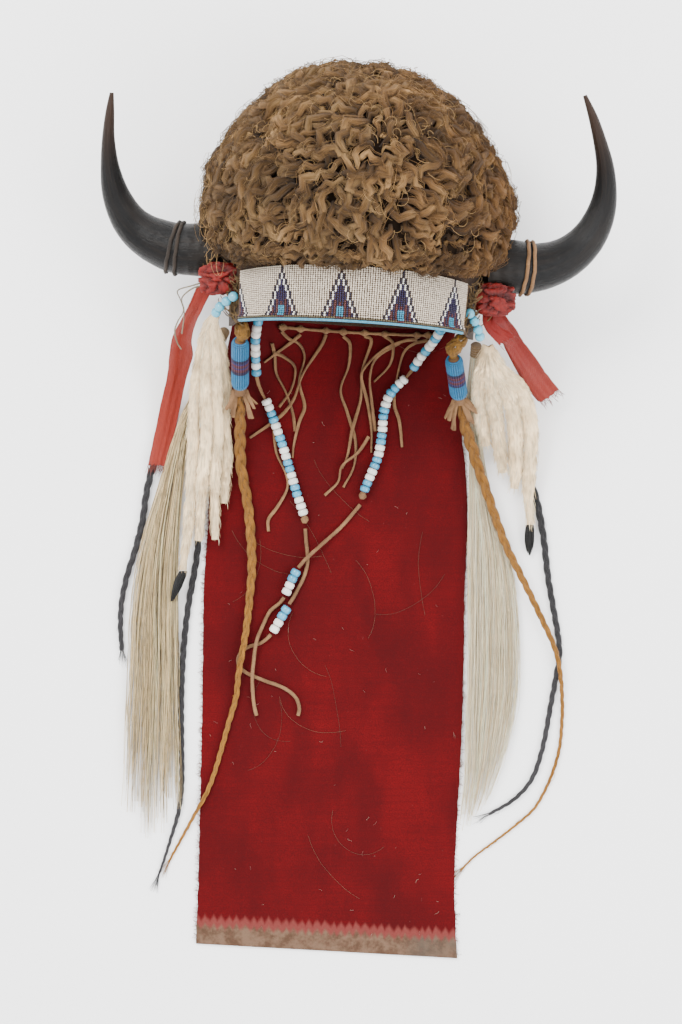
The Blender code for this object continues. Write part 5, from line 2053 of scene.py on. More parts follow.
@dataclass
class BeadString:
    """A chin string of pony beads, or a group of beads lower on its thong."""

    name: str
    route: tuple
    runs: tuple
    wide: float = 0.0074
    thong: float = 0.0028
    knot: float = 0.0058

    def build(self, ground: Ground, bead: Material, thong: Material) -> None:
        """Makes the string.

        Args:
            ground: what it lies on.
            bead: the beads' finish.
            thong: the finish of the thong between them.
        """
        pick = random.Random(len(self.name) + 40)
        route = ground.laid(self.route, 0.0015, self.wide / 2)
        plain = ("bare", "knot")
        total = sum(long if kinds in plain else long * len(kinds) for kinds, long in self.runs)
        stretch = route_length(route) / total
        along = [0.0]
        for a, b in zip(route, route[1:]):
            along.append(along[-1] + math.dist(a[:3], b[:3]))

        def spot(at: float) -> tuple[Vector, Vector]:
            """Finds a place on the string.

            Args:
                at: how far along it is, in metres.

            Returns:
                The point and the string's direction there.
            """
            k = 0
            while k < len(along) - 2 and along[k + 1] < at:
                k += 1
            share = min(1.0, (at - along[k]) / max(along[k + 1] - along[k], 1e-9))
            a, b = Vector(route[k][:3]), Vector(route[k + 1][:3])
            return a.lerp(b, share), (b - a).normalized()

        beads = Beads()
        core = MeshMaker()
        at = 0.0
        for kinds, long in self.runs:
            if kinds in plain:
                span = long * stretch
                steps = 10
                points = [spot(at + span * k / steps)[0] for k in range(steps + 1)]
                if kinds == "knot":
                    more = self.knot - self.thong
                    wides = [self.thong + more * math.sin(math.pi * k / steps) for k in range(steps + 1)]
                    core.tube(points, wides, [w * 0.9 for w in wides], 10, uneven=0.35)
                else:
                    core.tube(points, self.thong, self.thong * 0.7, 8, twist=1.4, uneven=0.15)
                at += span
                continue
            for kind in kinds:
                step = long * stretch
                place, ahead = spot(at + step / 2)
                ahead = (ahead + Vector([pick.uniform(-0.07, 0.07) for _ in range(3)])).normalized()
                base = Glass.WHITE.value if kind == "w" else Glass.SKY.value
                tint = shaded(base, pick.uniform(0.88, 1.08))
                wide = self.wide * pick.uniform(0.93, 1.03)
                beads.add(place, ahead, wide, step * pick.uniform(0.90, 0.97), tint)
                at += step
        core_route = [spot(along[-1] * k / 60)[0] for k in range(61)]
        core.tube(core_route, 0.0018, 0.0018, 6)
        made = beads.grow(f"{self.name}_beads", bead, 20, 5, 0.26, 6.0)
        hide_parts(self.name)
        line = core.build(f"{self.name}_thong", thong)


@dataclass
class Thong:
    """A bare thong that lies on the cloth."""

    name: str
    route: tuple
    node: str = ""
    wide: float = 0.0028
    thick: float = 0.0028
    far_end: str = "bare"
    twist: float = 3.0
    lay: str = "loose"
    stiffness: str = "limp"

    def build(self, ground: Ground, finish: Material) -> None:
        """Args:
            ground: what it lies on.
            finish: its material.
        """
        if self.stiffness == "limp":
            route = smooth_route(ground.laid(self.route, 0.0022, self.thick / 2), 0.0018)
        else:
            route = smooth_route(scaled(self.route), 0.0018)
        maker = MeshMaker()
        length = route_length(route)
        maker.tube(route, self.wide, self.thick, 8, twist=self.twist * length / 0.05, uneven=0.12)
        made = maker.build(self.name, finish)
        if self.node:
            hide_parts(self.node)


@dataclass
class Braid:
    """A braid of three strands of horsehair."""

    name: str
    route: tuple
    light: Colour
    dark: Colour
    pitch: float = 0.038
    wisps: int = 26

    def build(self, ground: Ground, finish: Material) -> None:
        """Args:
            ground: what it lies on.
            finish: its material.
        """
        pick = random.Random(len(self.name) * 7)
        route = smooth_route(ground.laid(self.route, 0.006, 0.003), 0.0013)
        places = [Vector(row[:3]) for row in route]
        maker = MeshMaker()
        bodies = [[], [], []]
        wides = [[], [], []]
        tints = [[], [], []]
        phase = 0.0
        for k, row in enumerate(route):
            across, square = square_pair(heading(places, k))
            square.normalize()
            thick = row[3]
            phase += 2 * math.pi * 0.0013 / (self.pitch * (0.35 + 0.65 * thick / 0.0076))
            share = k / (len(route) - 1)
            for j in range(3):
                turn = phase + 2 * math.pi * j / 3
                bodies[j].append(places[k] + across * math.sin(turn) * thick * 0.26
                                 + square * math.sin(2 * turn) * thick * 0.15)
                wides[j].append(thick * 0.52)
                level = 0.75 + 0.45 * field.noise(Vector((k * 0.21, j * 9.0, len(self.name)))) + 0.18 * share
                tints[j].append(shaded(mixed(self.dark, self.light, 0.35 + 0.65 * share), level + 0.25))
        for j in range(3):
            maker.tube(bodies[j], wides[j], [w * 0.85 for w in wides[j]], 8, tints[j])
        made = maker.build(f"{self.name}_strands", finish, 80.0)
        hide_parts(self.name)
        loose = Strands()
        for _ in range(self.wisps):
            k = pick.randrange(2, len(route) - 12)
            points = []
            side = Vector((pick.uniform(-1, 1), pick.uniform(-1, 1), pick.random())).normalized()
            off = side * route[k][3] * 0.45
            for i in range(9):
                row = places[min(k + i * 2, len(places) - 1)]
                drift = Vector((pick.uniform(-1, 1), pick.uniform(-1, 1), 0.0)) * 0.0009 * i / 4
                spot = row + off + drift
                spot.z = max(spot.z, FINE_CLEAR)
                points.append(spot)
            loose.add(points, [0.00013] * 9, [shaded(self.light, pick.uniform(0.7, 1.2))] * 9)
        end = places[-1]
        ahead = (places[-1] - places[-4]).normalized()
        for _ in range(14):
            drift = Vector((pick.uniform(-1, 1), pick.uniform(-1, 1), 0.0)) * 0.0035
            points = []
            for i in range(7):
                spot = end - ahead * 0.010 + ahead * 0.0034 * i + drift * (i / 6) ** 2
                spot.z = max(spot.z, HAIR_CLEAR)
                points.append(spot)
            loose.add(points, [0.00016] * 6 + [0.00008], [shaded(self.light, pick.uniform(0.8, 1.25))] * 7)
        wisps = loose.grow(f"{self.name}_wisps", finish, 3, 0.0008, 200.0, 4.0)
        thicks = sorted(row[3] for row in route)
        middle = max(thicks[len(thicks) // 2], thicks[-1] * 0.54)


@dataclass
class HairDrop:
    """A drop of loose horsehair."""

    side: str
    head: tuple
    locks: tuple
    strands: int
    tones: tuple
    thick: float = 0.0072
    points: int = 14
    bleached: Colour = (0.88, 0.67, 0.36)
    bound: tuple = (0.0066, 0.0082, 0.0066)

    def build(self, finish: Material) -> None:
        """Makes the drop.

        Args:
            finish: its material.
        """
        pick = random.Random(61 if self.side == "left" else 62)
        strands = Strands()
        tables = []
        for lock in self.locks:
            root = [c + 0.5 * (p - c) for c, p in zip(self.head, lock[0])]
            rows = scaled((((*self.head, lock[0][3]), (*root, lock[0][3]), *lock)))
            tables.append(smooth_route(rows, 0.004))
        weights = [sum(row[3] for row in table) for table in tables]
        for _ in range(self.strands):
            table = pick.choices(tables, weights)[0]
            offset = pick.uniform(-1, 1)
            high = pick.uniform(-1, 1) * math.sqrt(max(0.0, 1 - offset * offset))
            start = 0.0 if pick.random() < 0.92 else pick.uniform(0.1, 0.4)
            stop = pick.uniform(0.80, 1.0) if pick.random() < 0.85 else pick.uniform(0.55, 0.8)
            drift = pick.uniform(-0.25, 0.25)
            wave, phase = pick.uniform(1.0, 2.6), pick.uniform(0, 6.28)
            points, thicks = [], []
            for k in range(self.points):
                share = start + (stop - start) * k / (self.points - 1)
                last = len(table) - 1
                near = round(share * last)
                row = table[min(near, last)]
                after, before = table[min(near + 1, last)], table[max(near - 1, 0)]
                across, square = square_pair((Vector(after[:3]) - Vector(before[:3])).normalized())
                side = (offset + drift * share + 0.10 * math.sin(wave * share * 6.28 + phase)) * row[3] * 0.62
                tall = min(self.thick, max(0.0035, 1.2 * row[3])) * 0.45 * (1.0 - 0.35 * share)
                spot = Vector(row[:3]) + across * side + square * high * tall
                spot.z = max(spot.z, HAIR_CLEAR)
                points.append(spot)
                thicks.append(0.00026 * (1.0 - 0.5 * k / self.points))
            tone = pick.choice(self.tones)
            level = pick.uniform(0.86, 1.24)
            ends = [mixed(tone, self.bleached, 0.25 * k / self.points) for k in range(self.points)]
            strands.add(points, thicks, [shaded(colour, level) for colour in ends])
        made = strands.grow(f"horsehair_{self.side}", finish, 3, 0.0016, 55.0, 8.0)
        head = MeshMaker()
        top = Vector(self.head) * MM
        down = (Vector(self.locks[0][0][:3]) * MM - top).normalized()
        for k in range(5):
            ring = top + down * (k * 0.0021 - 0.0030)
            middle = [ring - down * 0.0011, ring, ring + down * 0.0011]
            head.tube(middle, self.bound, self.bound, 12, (0.22, 0.14, 0.07), uneven=0.08)
        bound = head.build(f"horsehair_{self.side}_binding", finish)
        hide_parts(f"hair_drop_{self.side}")


@dataclass
class Ermine:
    """Strips of ermine with a black tail tip."""

    side: str
    head: tuple
    strips: tuple
    tip: tuple
    wide: float = 0.0092
    thick: float = 0.0070
    sway: float = 0.0032
    swell: float = 0.34
    fur: int = 440

    def build(self, fur: Material, black: Material) -> None:
        """Makes the strips.

        Args:
            fur: the white fur's finish.
            black: the tip's finish.
        """
        pick = random.Random(71 if self.side == "left" else 72)
        maker = MeshMaker()
        hairs = Strands()
        cream = (0.94, 0.71, 0.42)
        for route in self.strips:
            rows = smooth_route(scaled((self.head, *route)), 0.0035)
            last = len(rows) - 1
            shares = [k / last for k in range(last + 1)]
            for row, share in zip(rows, shares):
                row[0] += self.sway * share * field.noise(Vector((row[1] * 26.0, route[0][0], 0.0)))
            ends = [max(0.0, share - 0.8) / 0.2 for share in shares]
            swells = [1.0 + self.swell * field.noise(Vector((row[1] * 34.0, route[-1][0], 4.0)))
                      for row in rows]
            wides = [self.wide * w * (0.66 + 0.34 * min(1.0, 3.5 * s) - 0.45 * e)
                     for s, e, w in zip(shares, ends, swells)]
            thicks = [self.thick * 0.86 * (0.8 + 0.2 * min(1.0, 2.5 * s) - 0.4 * e)
                      for s, e in zip(shares, ends)]
            tints = [shaded(cream, 0.82 + 0.3 * field.noise(Vector(row[:3]) * 60.0)) for row in rows]
            maker.tube(rows, wides, thicks, 12, tints, uneven=0.32)
            for _ in range(self.fur):
                k = pick.randrange(1, last)
                share = k / last
                place = Vector(rows[k][:3])
                ahead = (Vector(rows[min(k + 2, last)][:3]) - Vector(rows[max(k - 1, 0)][:3])).normalized()
                across, square = square_pair(ahead)
                turn = pick.uniform(-0.35, math.pi + 0.35)
                out = across * math.cos(turn) + square * math.sin(turn)
                start = place + across * math.cos(turn) * wides[k] * 0.46
                start += square * math.sin(turn) * thicks[k] * 0.46
                long = pick.uniform(0.004, 0.0085)
                points = []
                for i in range(4):
                    reach = i / 3
                    spot = start + ahead * long * reach + out * long * (0.26 * reach - 0.05 * reach * reach)
                    spot.z = max(spot.z, FINE_CLEAR)
                    points.append(spot)
                tone = mixed(cream, (0.96, 0.84, 0.60), pick.random())
                if field.noise(place * 45.0) > 0.22:
                    tone = mixed(tone, (0.36, 0.22, 0.09), pick.uniform(0.1, 0.5))
                level = pick.uniform(0.78, 1.12)
                hairs.add(points, [0.00024, 0.00021, 0.00016, 0.00006], [shaded(tone, level)] * 4)
        made = maker.build(f"ermine_{self.side}_skin", fur)
        coat = hairs.grow(f"ermine_{self.side}_fur", fur, 3, 0.0010, 260.0, 5.0)
        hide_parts(f"ermine_{self.side}")
        tail = Strands()
        rows = smooth_route(scaled(self.tip), 0.002)
        for _ in range(190):
            turn = pick.uniform(0, 2 * math.pi)
            points = []
            reach = pick.uniform(0.5, 1.0)
            spread = math.sqrt(pick.random())
            for k in range(8):
                row = rows[min(round(reach * k / 7 * (len(rows) - 1)), len(rows) - 1)]
                off = Vector((math.cos(turn), 0.2 * math.sin(turn), 0.8 * math.sin(turn)))
                spot = Vector(row[:3]) + off * row[3] * 0.5 * spread
                spot.z = max(spot.z, HAIR_CLEAR)
                points.append(spot)
            tint = shaded((0.006, 0.0055, 0.0055), pick.uniform(0.6, 1.6))
            tail.add(points, [0.00030] * 7 + [0.0001], [tint] * 8)
        end = tail.grow(f"ermine_{self.side}_black_tip", black, 3, 0.0006, 300.0, 6.0)
        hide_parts(f"ermine_tip_{self.side}")


@dataclass
class Sleeve:
    """A beaded sleeve with the knot above it and the thong fringe under it."""

    side: str
    ends: tuple
    knot: tuple
    fringe: tuple
    roots: tuple = ((-4.4, 0.6), (-3.4, -1.6), (3.4, -1.6), (4.4, 0.6))
    wide: float = 0.0125
    knot_wide: float = 0.012

    def build(self, bead: Material, thong: Material, hair: Material) -> None:
        """Makes the sleeve, its knot and its fringe.

        Args:
            bead: the seed beads' finish.
            thong: the fringe's finish.
            hair: the knot's finish.
        """
        pick = random.Random(81 if self.side == "left" else 82)
        start, end = (Vector(p) * MM for p in self.ends)
        along = (end - start).normalized()
        across, square = square_pair(along)
        long = (end - start).length
        rows, columns = round(long / 0.0014), 22
        beads = Beads()
        for r in range(rows):
            share = (r + 0.5) / rows
            swell = 0.80 + 0.23 * min(1.0, 14 * min(share, 1 - share))
            radius = self.wide / 2 * swell - 0.0006
            if share < 0.33 or share > 0.66:
                base = Glass.AZURE.value
            elif share < 0.41 or share > 0.59:
                base = Glass.NAVY.value
            else:
                base = (Glass.BRICK.value, Glass.ROYAL.value, Glass.PLUM.value)[r % 3]
            for c in range(columns):
                turn = 2 * math.pi * (c + 0.5 * (r % 2) * 0.2) / columns
                out = across * math.cos(turn) + square * math.sin(turn)
                point = start + along * long * share + out * radius
                tint = shaded(base, pick.uniform(0.85, 1.12))
                beads.add(point, along, 0.00172, 0.00118, tint)
        made = beads.grow(f"sleeve_{self.side}_beads", bead, 7, 2, 0.42, 2.0)
        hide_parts(f"bead_sleeve_{self.side}")
        core = MeshMaker()
        inside = [start.lerp(end, share) for share in (0.06, 0.5, 0.94)]
        wides = [self.wide * s for s in (0.6, 0.82, 0.84, 0.82, 0.6)]
        core.tube([start + along * 0.0004, *inside, end - along * 0.0004], wides, wides, 16)
        backing = core.build(f"sleeve_{self.side}_backing", thong)
        head = end + along * 0.0004
        bits = MeshMaker()
        bits.tube([head, head + along * 0.003, head + along * 0.006], 0.0086, 0.0086, 10, uneven=0.2)
        for k in range(9):
            tip_at = Vector(self.fringe[k % 4]) * MM
            beside, above = self.roots[k % 4]
            if k >= 4:
                tip_at = tip_at + Vector((pick.uniform(-4, 4), pick.uniform(-2, 5), pick.uniform(-2, 3))) * MM
            offset = Vector((beside, 0, above)) * MM * (1.0 if k < 4 else 0.5)
            root = head + along * (0.003 - offset.dot(along)) + offset
            knee = root.lerp(tip_at, 0.5) + Vector((pick.uniform(-1, 1), 0, 1.4)) * MM
            route = smooth_route([list(root), list(knee), list(tip_at)], 0.0018)
            bits.tube(route, 0.0030, 0.0012, 6, twist=pick.uniform(-1.2, 1.2), uneven=0.15)
        fringe = bits.build(f"sleeve_{self.side}_thongs", thong)
        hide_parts(f"sleeve_fringe_{self.side}")
        threads = Strands()
        knots = [Vector(row) for row in smooth_route(scaled(self.knot), 0.0012)]
        count = len(knots) - 1
        for _ in range(34):
            turn0 = 2 * math.pi * pick.random()
            points, thicks = [], []
            winding = pick.uniform(-5.5, 5.5)
            for k, place in enumerate(knots):
                share = k / count
                swell = 0.42 + 0.5 * math.sin(math.pi * min(1.0, share * 1.1)) + 0.12 * math.sin(share * 12.0)
                turn = turn0 + winding * share
                a, b = square_pair(heading(knots, k))
                radius = self.knot_wide / 2 * swell * pick.uniform(0.82, 1.0)
                points.append(place + a * math.cos(turn) * radius + b * math.sin(turn) * radius)
                thicks.append(0.00075)
            level = pick.uniform(0.65, 1.25)
            tint = shaded((0.22, 0.100, 0.008), level)
            threads.add(points, thicks, [tint] * len(points), [0.5] * len(points))
        wound = threads.grow(f"sleeve_{self.side}_wound_knot", hair, 4, 0.0012, 350.0, 9.0)
        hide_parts(f"sleeve_knot_{self.side}")


@dataclass
class BeadLoop:
    """A short loop of round beads at a temple."""

    side: str
    route: tuple
    wide: float = 0.0071

    def build(self, bead: Material) -> None:
        """Makes the loop.

        Args:
            bead: the beads' finish.
        """
        fine = smooth_route(scaled(self.route), 0.0005)
        long = route_length(fine) / (len(self.route) - 1)
        beads = Beads()
        for k in range(len(self.route)):
            at = min(len(fine) - 1, round(k * (len(fine) - 1) / (len(self.route) - 1)))
            ahead = Vector(fine[min(at + 3, len(fine) - 1)]) - Vector(fine[max(at - 3, 0)])
            tint = shaded(Glass.PALE_SKY.value, 0.92 + 0.05 * k)
            beads.add(fine[at], ahead, self.wide, min(long * 0.97, 0.0066), tint)
        made = beads.grow(f"temple_beads_{self.side}", bead, 22, 8, 0.52, 2.6)
        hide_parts(f"bead_loop_{self.side}")


@dataclass
class Ribbon:
    """A silk ribbon tail with a frayed end."""

    name: str
    rows: tuple
    fade: tuple
    flat: tuple
    fray: int = 40
    thick: float = 0.0007

    def build(self, silk: Material, thread: Material) -> None:
        """Args:
            silk: its finish.
            thread: the finish of its frayed end.
        """
        pick = random.Random(len(self.name) + 90)
        lines = smooth_route([[v * MM for v in (*a, *b)] for a, b in self.rows], 0.0022)
        rows, fades = [], []
        wide = 16
        for r, line in enumerate(lines):
            left, right = Vector(line[:3]), Vector(line[3:])
            share = r / (len(lines) - 1)
            after = lines[min(r + 1, len(lines) - 1)]
            before = lines[max(r - 1, 0)]
            ahead = Vector(after[:3]) + Vector(after[3:]) - Vector(before[:3]) - Vector(before[3:])
            ahead.normalize()
            span = right - left
            square = span.cross(ahead).normalized()
            if square.z < 0:
                square.negate()
            row = []
            for c in range(wide + 1):
                across = c / wide
                fold = math.sin(math.pi * across * 2.0 + 0.6 * math.sin(share * 4)) * span.length * 0.075
                run = Vector((across * 5.5, share * 2.2, len(self.name)))
                crease = field.noise(run) * 0.0013 + field.noise(run * 2.7) * 0.0005
                point = left.lerp(right, across) + square * (fold + crease)
                if c in (0, wide):
                    point += (right - left) * (0.035 * field.noise(Vector((share * 14.0, c, len(self.name)))))
                if r == len(lines) - 1:
                    point += ahead * pick.uniform(-0.0012, 0.0010)
                point.z = max(point.z, 0.0012)
                row.append(point)
            rows.append(row)
            fades.append(self.fade[0] + (self.fade[1] - self.fade[0]) * share)
        maker = MeshMaker()
        maker.sheet(rows, self.thick, fades=fades)
        made = maker.build(f"{self.name}_silk", silk, 80.0)
        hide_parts(self.name)
        ends = Strands()
        last, before = rows[-1], rows[-3]
        for _ in range(self.fray):
            c = pick.randrange(0, wide + 1)
            ahead = (last[c] - before[c]).normalized()
            points = []
            drift = Vector((pick.uniform(-1, 1), pick.uniform(-1, 1), pick.uniform(-0.3, 0.6))) * 0.0016
            long = pick.uniform(0.003, 0.009)
            for i in range(5):
                spot = last[c] + ahead * (long * i / 4 - 0.001) + drift * (i / 4) ** 2
                spot.z = max(spot.z, FINE_CLEAR)
                points.append(spot)
            tint = shaded((0.165, 0.030, 0.020), pick.uniform(0.8, 1.3))
            ends.add(points, [0.00018] * 4 + [0.00008], [tint] * 5)
        frayed = ends.grow(f"{self.name}_fray", thread, 3, 0.0008, 300.0, 3.0)


@dataclass
class Rosette:
    """A bunched silk knot, crumpled into sharp folds, with painted shade in its creases and painted light on
    its puffs.
    """

    side: str
    centre: tuple
    size: tuple = (0.0138, 0.0112, 0.0054)
    around: int = 110
    levels: int = 34
    crumple: float = 0.44
    lean: tuple = (0.62, 1.25, 1.5)

    def build(self, silk: Material) -> None:
        """Makes the knot.

        Args:
            silk: its finish.
        """
        maker = MeshMaker()
        centre = Vector(self.centre) * MM
        seed = Vector((3.7, 1.1, 0.0)) if self.side == "left" else Vector((9.2, 4.4, 2.0))

        def spot(turn: float, tilt: float) -> int:
            """Adds the knot's point in one direction.

            Args:
                turn: the direction's angle round the knot.
                tilt: its angle up or down.

            Returns:
                The point's number.
            """
            way = Vector((math.cos(turn) * math.cos(tilt), math.sin(turn) * math.cos(tilt), math.sin(tilt)))
            folded = Vector([a * b for a, b in zip(way, self.lean)])
            puff = min(1.0, 3.6 * abs(field.noise(folded * 1.9 + seed))) ** 0.55
            fine = min(1.0, 2.6 * abs(field.noise(folded * 4.2 + seed * 2))) ** 0.7
            reach = 1.04 - self.crumple + self.crumple * puff + 0.12 * (fine - 0.5)
            square = abs(way.x) ** 3.2 + abs(way.y) ** 3.2 + abs(way.z) ** 2.4
            reach *= square ** (-1 / 3.2)
            place = centre + Vector([a * b for a, b in zip(way, self.size)]) * reach
            # Painted shade and light: the colour goes from dark in the sunken creases to light on the puffs.
            return maker.add(place, fade=0.75 * puff * (0.6 + 0.4 * fine))

        rings = []
        for k in range(1, self.levels):
            tilt = -math.pi / 2 + math.pi * k / self.levels
            rings.append([spot(2 * math.pi * i / self.around, tilt) for i in range(self.around)])
        ends = [spot(0.0, -math.pi / 2), spot(0.0, math.pi / 2)]
        maker.join(rings)
        for i in range(self.around):
            j = (i + 1) % self.around
            maker.faces.append((rings[0][j], rings[0][i], ends[0]))
            maker.faces.append((rings[-1][i], rings[-1][j], ends[1]))
        made = maker.build(f"ribbon_rosette_{self.side}", silk, 80.0)
        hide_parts(f"ribbon_knot_{self.side}")


@dataclass
class RimLacing:
    """The thong along the rim, with a knot at the root of each tie."""

    knots: tuple = (-50, -37, -18, -5, 11, 26, 50, 58)
    off: float = 0.0050
    wide: float = 0.0028
    knot: float = 0.0058

    def build(self, ground: Ground, finish: Material) -> None:
        """Makes the lacing.

        Args:
            ground: what it lies on.
            finish: its material.
        """
        rows = []
        fine = 240
        first, last = self.knots[0] - 3, self.knots[-1] + 3
        for k in range(fine + 1):
            x = (first + (last - first) * k / fine) * MM
            y = x * math.tan(CAP.turn) - self.off
            swell = 0.0
            for knot in self.knots:
                swell = max(swell, math.exp(-(((x / MM - knot) / 2.0) ** 2)))
            thick = self.wide * 0.8 + (self.knot - self.wide * 0.8) * swell
            rows.append([x, y, ground.height(x, y, 0.0026) + self.knot * 0.4 + TOUCH_GAP, thick])
        maker = MeshMaker()
        wides = [row[3] for row in rows]
        maker.tube(rows, wides, [wide * 0.85 for wide in wides], 10, uneven=0.22)
        made = maker.build("rim_thong", finish)
        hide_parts("rim_lacing")


@dataclass
class Studio:
    """The camera, the lights and the surface."""

    high: float = 2.4
    middle: tuple = (-0.00675, -0.1395)
    lens: float = 112.5
    floor_half: float = 6.0
    sky: tuple = (0.99, 0.99, 1.0, 1.0)
    sky_strength: float = 2.9

    def camera(self) -> None:
        """Puts the camera straight above, as the photograph has it."""
        data = bpy.data.cameras.new("camera")
        data.lens = self.lens
        data.sensor_width = 36.0
        data.clip_end = 20.0
        made = bpy.data.objects.new("camera", data)
        made.location = (*self.middle, self.high)
        bpy.context.scene.collection.objects.link(made)
        bpy.context.scene.camera = made

    def light(self, name: str, place: tuple, size: float, power: float, colour: Colour) -> None:
        """Adds a soft light that points at the bonnet.

        Args:
            name: its name.
            place: where it is.
            size: its side.
            power: its power in watts.
            colour: its colour.
        """
        data = bpy.data.lights.new(name, "AREA")
        data.shape = "SQUARE"
        data.size = size
        data.energy = power
        data.color = colour
        made = bpy.data.objects.new(name, data)
        made.location = place
        aim = Vector((0.0, -0.1, 0.05)) - Vector(place)
        made.rotation_euler = aim.to_track_quat("-Z", "Y").to_euler()
        bpy.context.scene.collection.objects.link(made)

    def build(self, floor: Material) -> None:
        """Makes the surface, the lights and the sky.

        Args:
            floor: the surface's finish.
        """
        mesh = bpy.data.meshes.new("floor")
        half = self.floor_half
        corners = [(-half, -half, 0), (half, -half, 0), (half, half, 0), (-half, half, 0)]
        mesh.from_pydata(corners, [], [(0, 1, 2, 3)])
        mesh.materials.append(floor)
        made = bpy.data.objects.new("floor", mesh)
        made.location.z = -0.0002
        bpy.context.scene.collection.objects.link(made)
        self.light("key_light", (-1.1, 1.2, 2.2), 1.1, 92.0, (1.0, 0.985, 0.96))
        self.light("fill_light", (1.6, -0.9, 1.9), 1.6, 52.0, (0.98, 0.99, 1.0))
        world = bpy.data.worlds.new("sky")
        world.use_nodes = True
        shine = world.node_tree.nodes["Background"]
        shine.inputs["Color"].default_value = self.sky
        shine.inputs["Strength"].default_value = self.sky_strength
        bpy.context.scene.world = world


HORN_LEFT = (
    (-96, 48.5, 90, 37.5), (-112, 50, 89, 38), (-125, 51, 87.5, 36.5), (-138, 55.5, 86.5, 34),
    (-150, 62, 86, 30),
    (-159.5, 71, 87, 26), (-166.5, 83, 88.5, 22), (-171, 96, 91, 18), (-173.5, 112, 94.5, 13),
    (-174, 130, 99, 9.2),
    (-172.5, 148, 104, 6.4), (-171, 161, 107, 3),
)
HORN_RIGHT = (
    (98, 38, 89, 39), (118, 37.5, 87.5, 39.5), (131, 37, 86, 36), (144, 39.5, 85, 33), (156, 44.5, 85, 30),
    (167, 53, 85.5, 27), (175.5, 64, 87, 24), (181.5, 78, 89, 20.5), (184, 93, 92, 16.5),
    (183.5, 109, 95, 13),
    (180, 125, 98.5, 10), (174.5, 143, 103, 7), (168, 159, 107, 3),
)
STRING_LEFT = (
    (-67.5, 3, 7.5), (-69, -5, 6), (-70, -13, 3), (-70, -29, 2.4), (-69, -41, 2), (-66, -50, 1.4),
    (-61, -60, 1.2),
    (-55.5, -75, 0.6), (-50, -91, 0.4), (-45, -108, 0.4), (-40, -125, 0.4), (-34.5, -142, 0.3),
    (-34, -148, 0.2),
)
STRING_RIGHT = (
    (67.5, -4, 7.5), (62, -13, 3), (53, -24, 2), (46, -34, 1.4), (41, -40, 1), (35, -45.5, 0.8),
    (28.5, -54, 0.6),
    (25, -67, 0.4), (24, -80, 0.4), (21, -98, 0.4), (15, -113, 0.4), (10, -125, 0.3), (9, -130, 0.2),
)
GROUP_LEFT = ((-46.4, -210.2, 0.2), (-50, -216, 0.2), (-54, -223, 0.2), (-58, -229.5, 0.2))
GROUP_RIGHT = ((-39.4, -182.6, 0.2), (-43, -189, 0.2), (-45.5, -195, 0.2), (-48.5, -201.5, 0.2))
STRINGS = (
    BeadString("bead_string_left", STRING_LEFT, (
        ("bwwbwwbwb", 0.0052), ("bare", 0.019), ("wwbbwwbbwwbbwwbbwww", 0.0047), ("knot", 0.0058))),
    BeadString("bead_string_right", STRING_RIGHT, (
        ("bwbwwbwwb", 0.0052), ("bare", 0.008), ("wwbbwwbbwwbbwwbbwwbb", 0.0047), ("knot", 0.0058))),
    BeadString("bead_group_left", GROUP_LEFT, (("bbww", 0.0047),)),
    BeadString("bead_group_right", GROUP_RIGHT, (("bbww", 0.0047),)),
)
THONGS = (
    Thong("chin_thong_left_a", (
        (-33.5, -152, 0), (-33, -160, 0), (-32, -170, 0), (-32, -179, 0), (-35, -189, 0), (-41, -201, 0),
        (-45.5, -208.5, 1.4)), "chin_thong_left_upper", far_end="object"),
    Thong("chin_thong_left_b", (
        (-59.3, -231.4, 1.4), (-63, -235, 0), (-68, -238, 0), (-76, -240.5, 0), (-82, -245, 0),
        (-84, -252, 0),
        (-79, -259, 0), (-66, -265, 0), (-50, -271, 0), (-41, -278, 0), (-38, -286, 0), (-39, -292, 0)),
        "chin_thong_left_end"),
    Thong("chin_thong_right_a", (
        (7.6, -134, 0), (1, -142, 0), (-7, -151, 0), (-18, -161, 1.4), (-27, -169, 3.6), (-33.5, -175, 3.6),
        (-38.6, -181, 2)), "chin_thong_right_upper", far_end="object"),
    Thong("chin_thong_right_b", (
        (-49.5, -203.6, 1.4), (-53, -208, 0), (-60, -214, 0), (-65, -224, 0), (-68.5, -232, 2.4),
        (-70.5, -239, 4.2),
        (-72, -250, 2.4), (-73, -261.5, 4.2), (-73, -271, 1.6), (-72, -283, 0), (-70, -292, 0)),
        "chin_thong_right_end"),
)
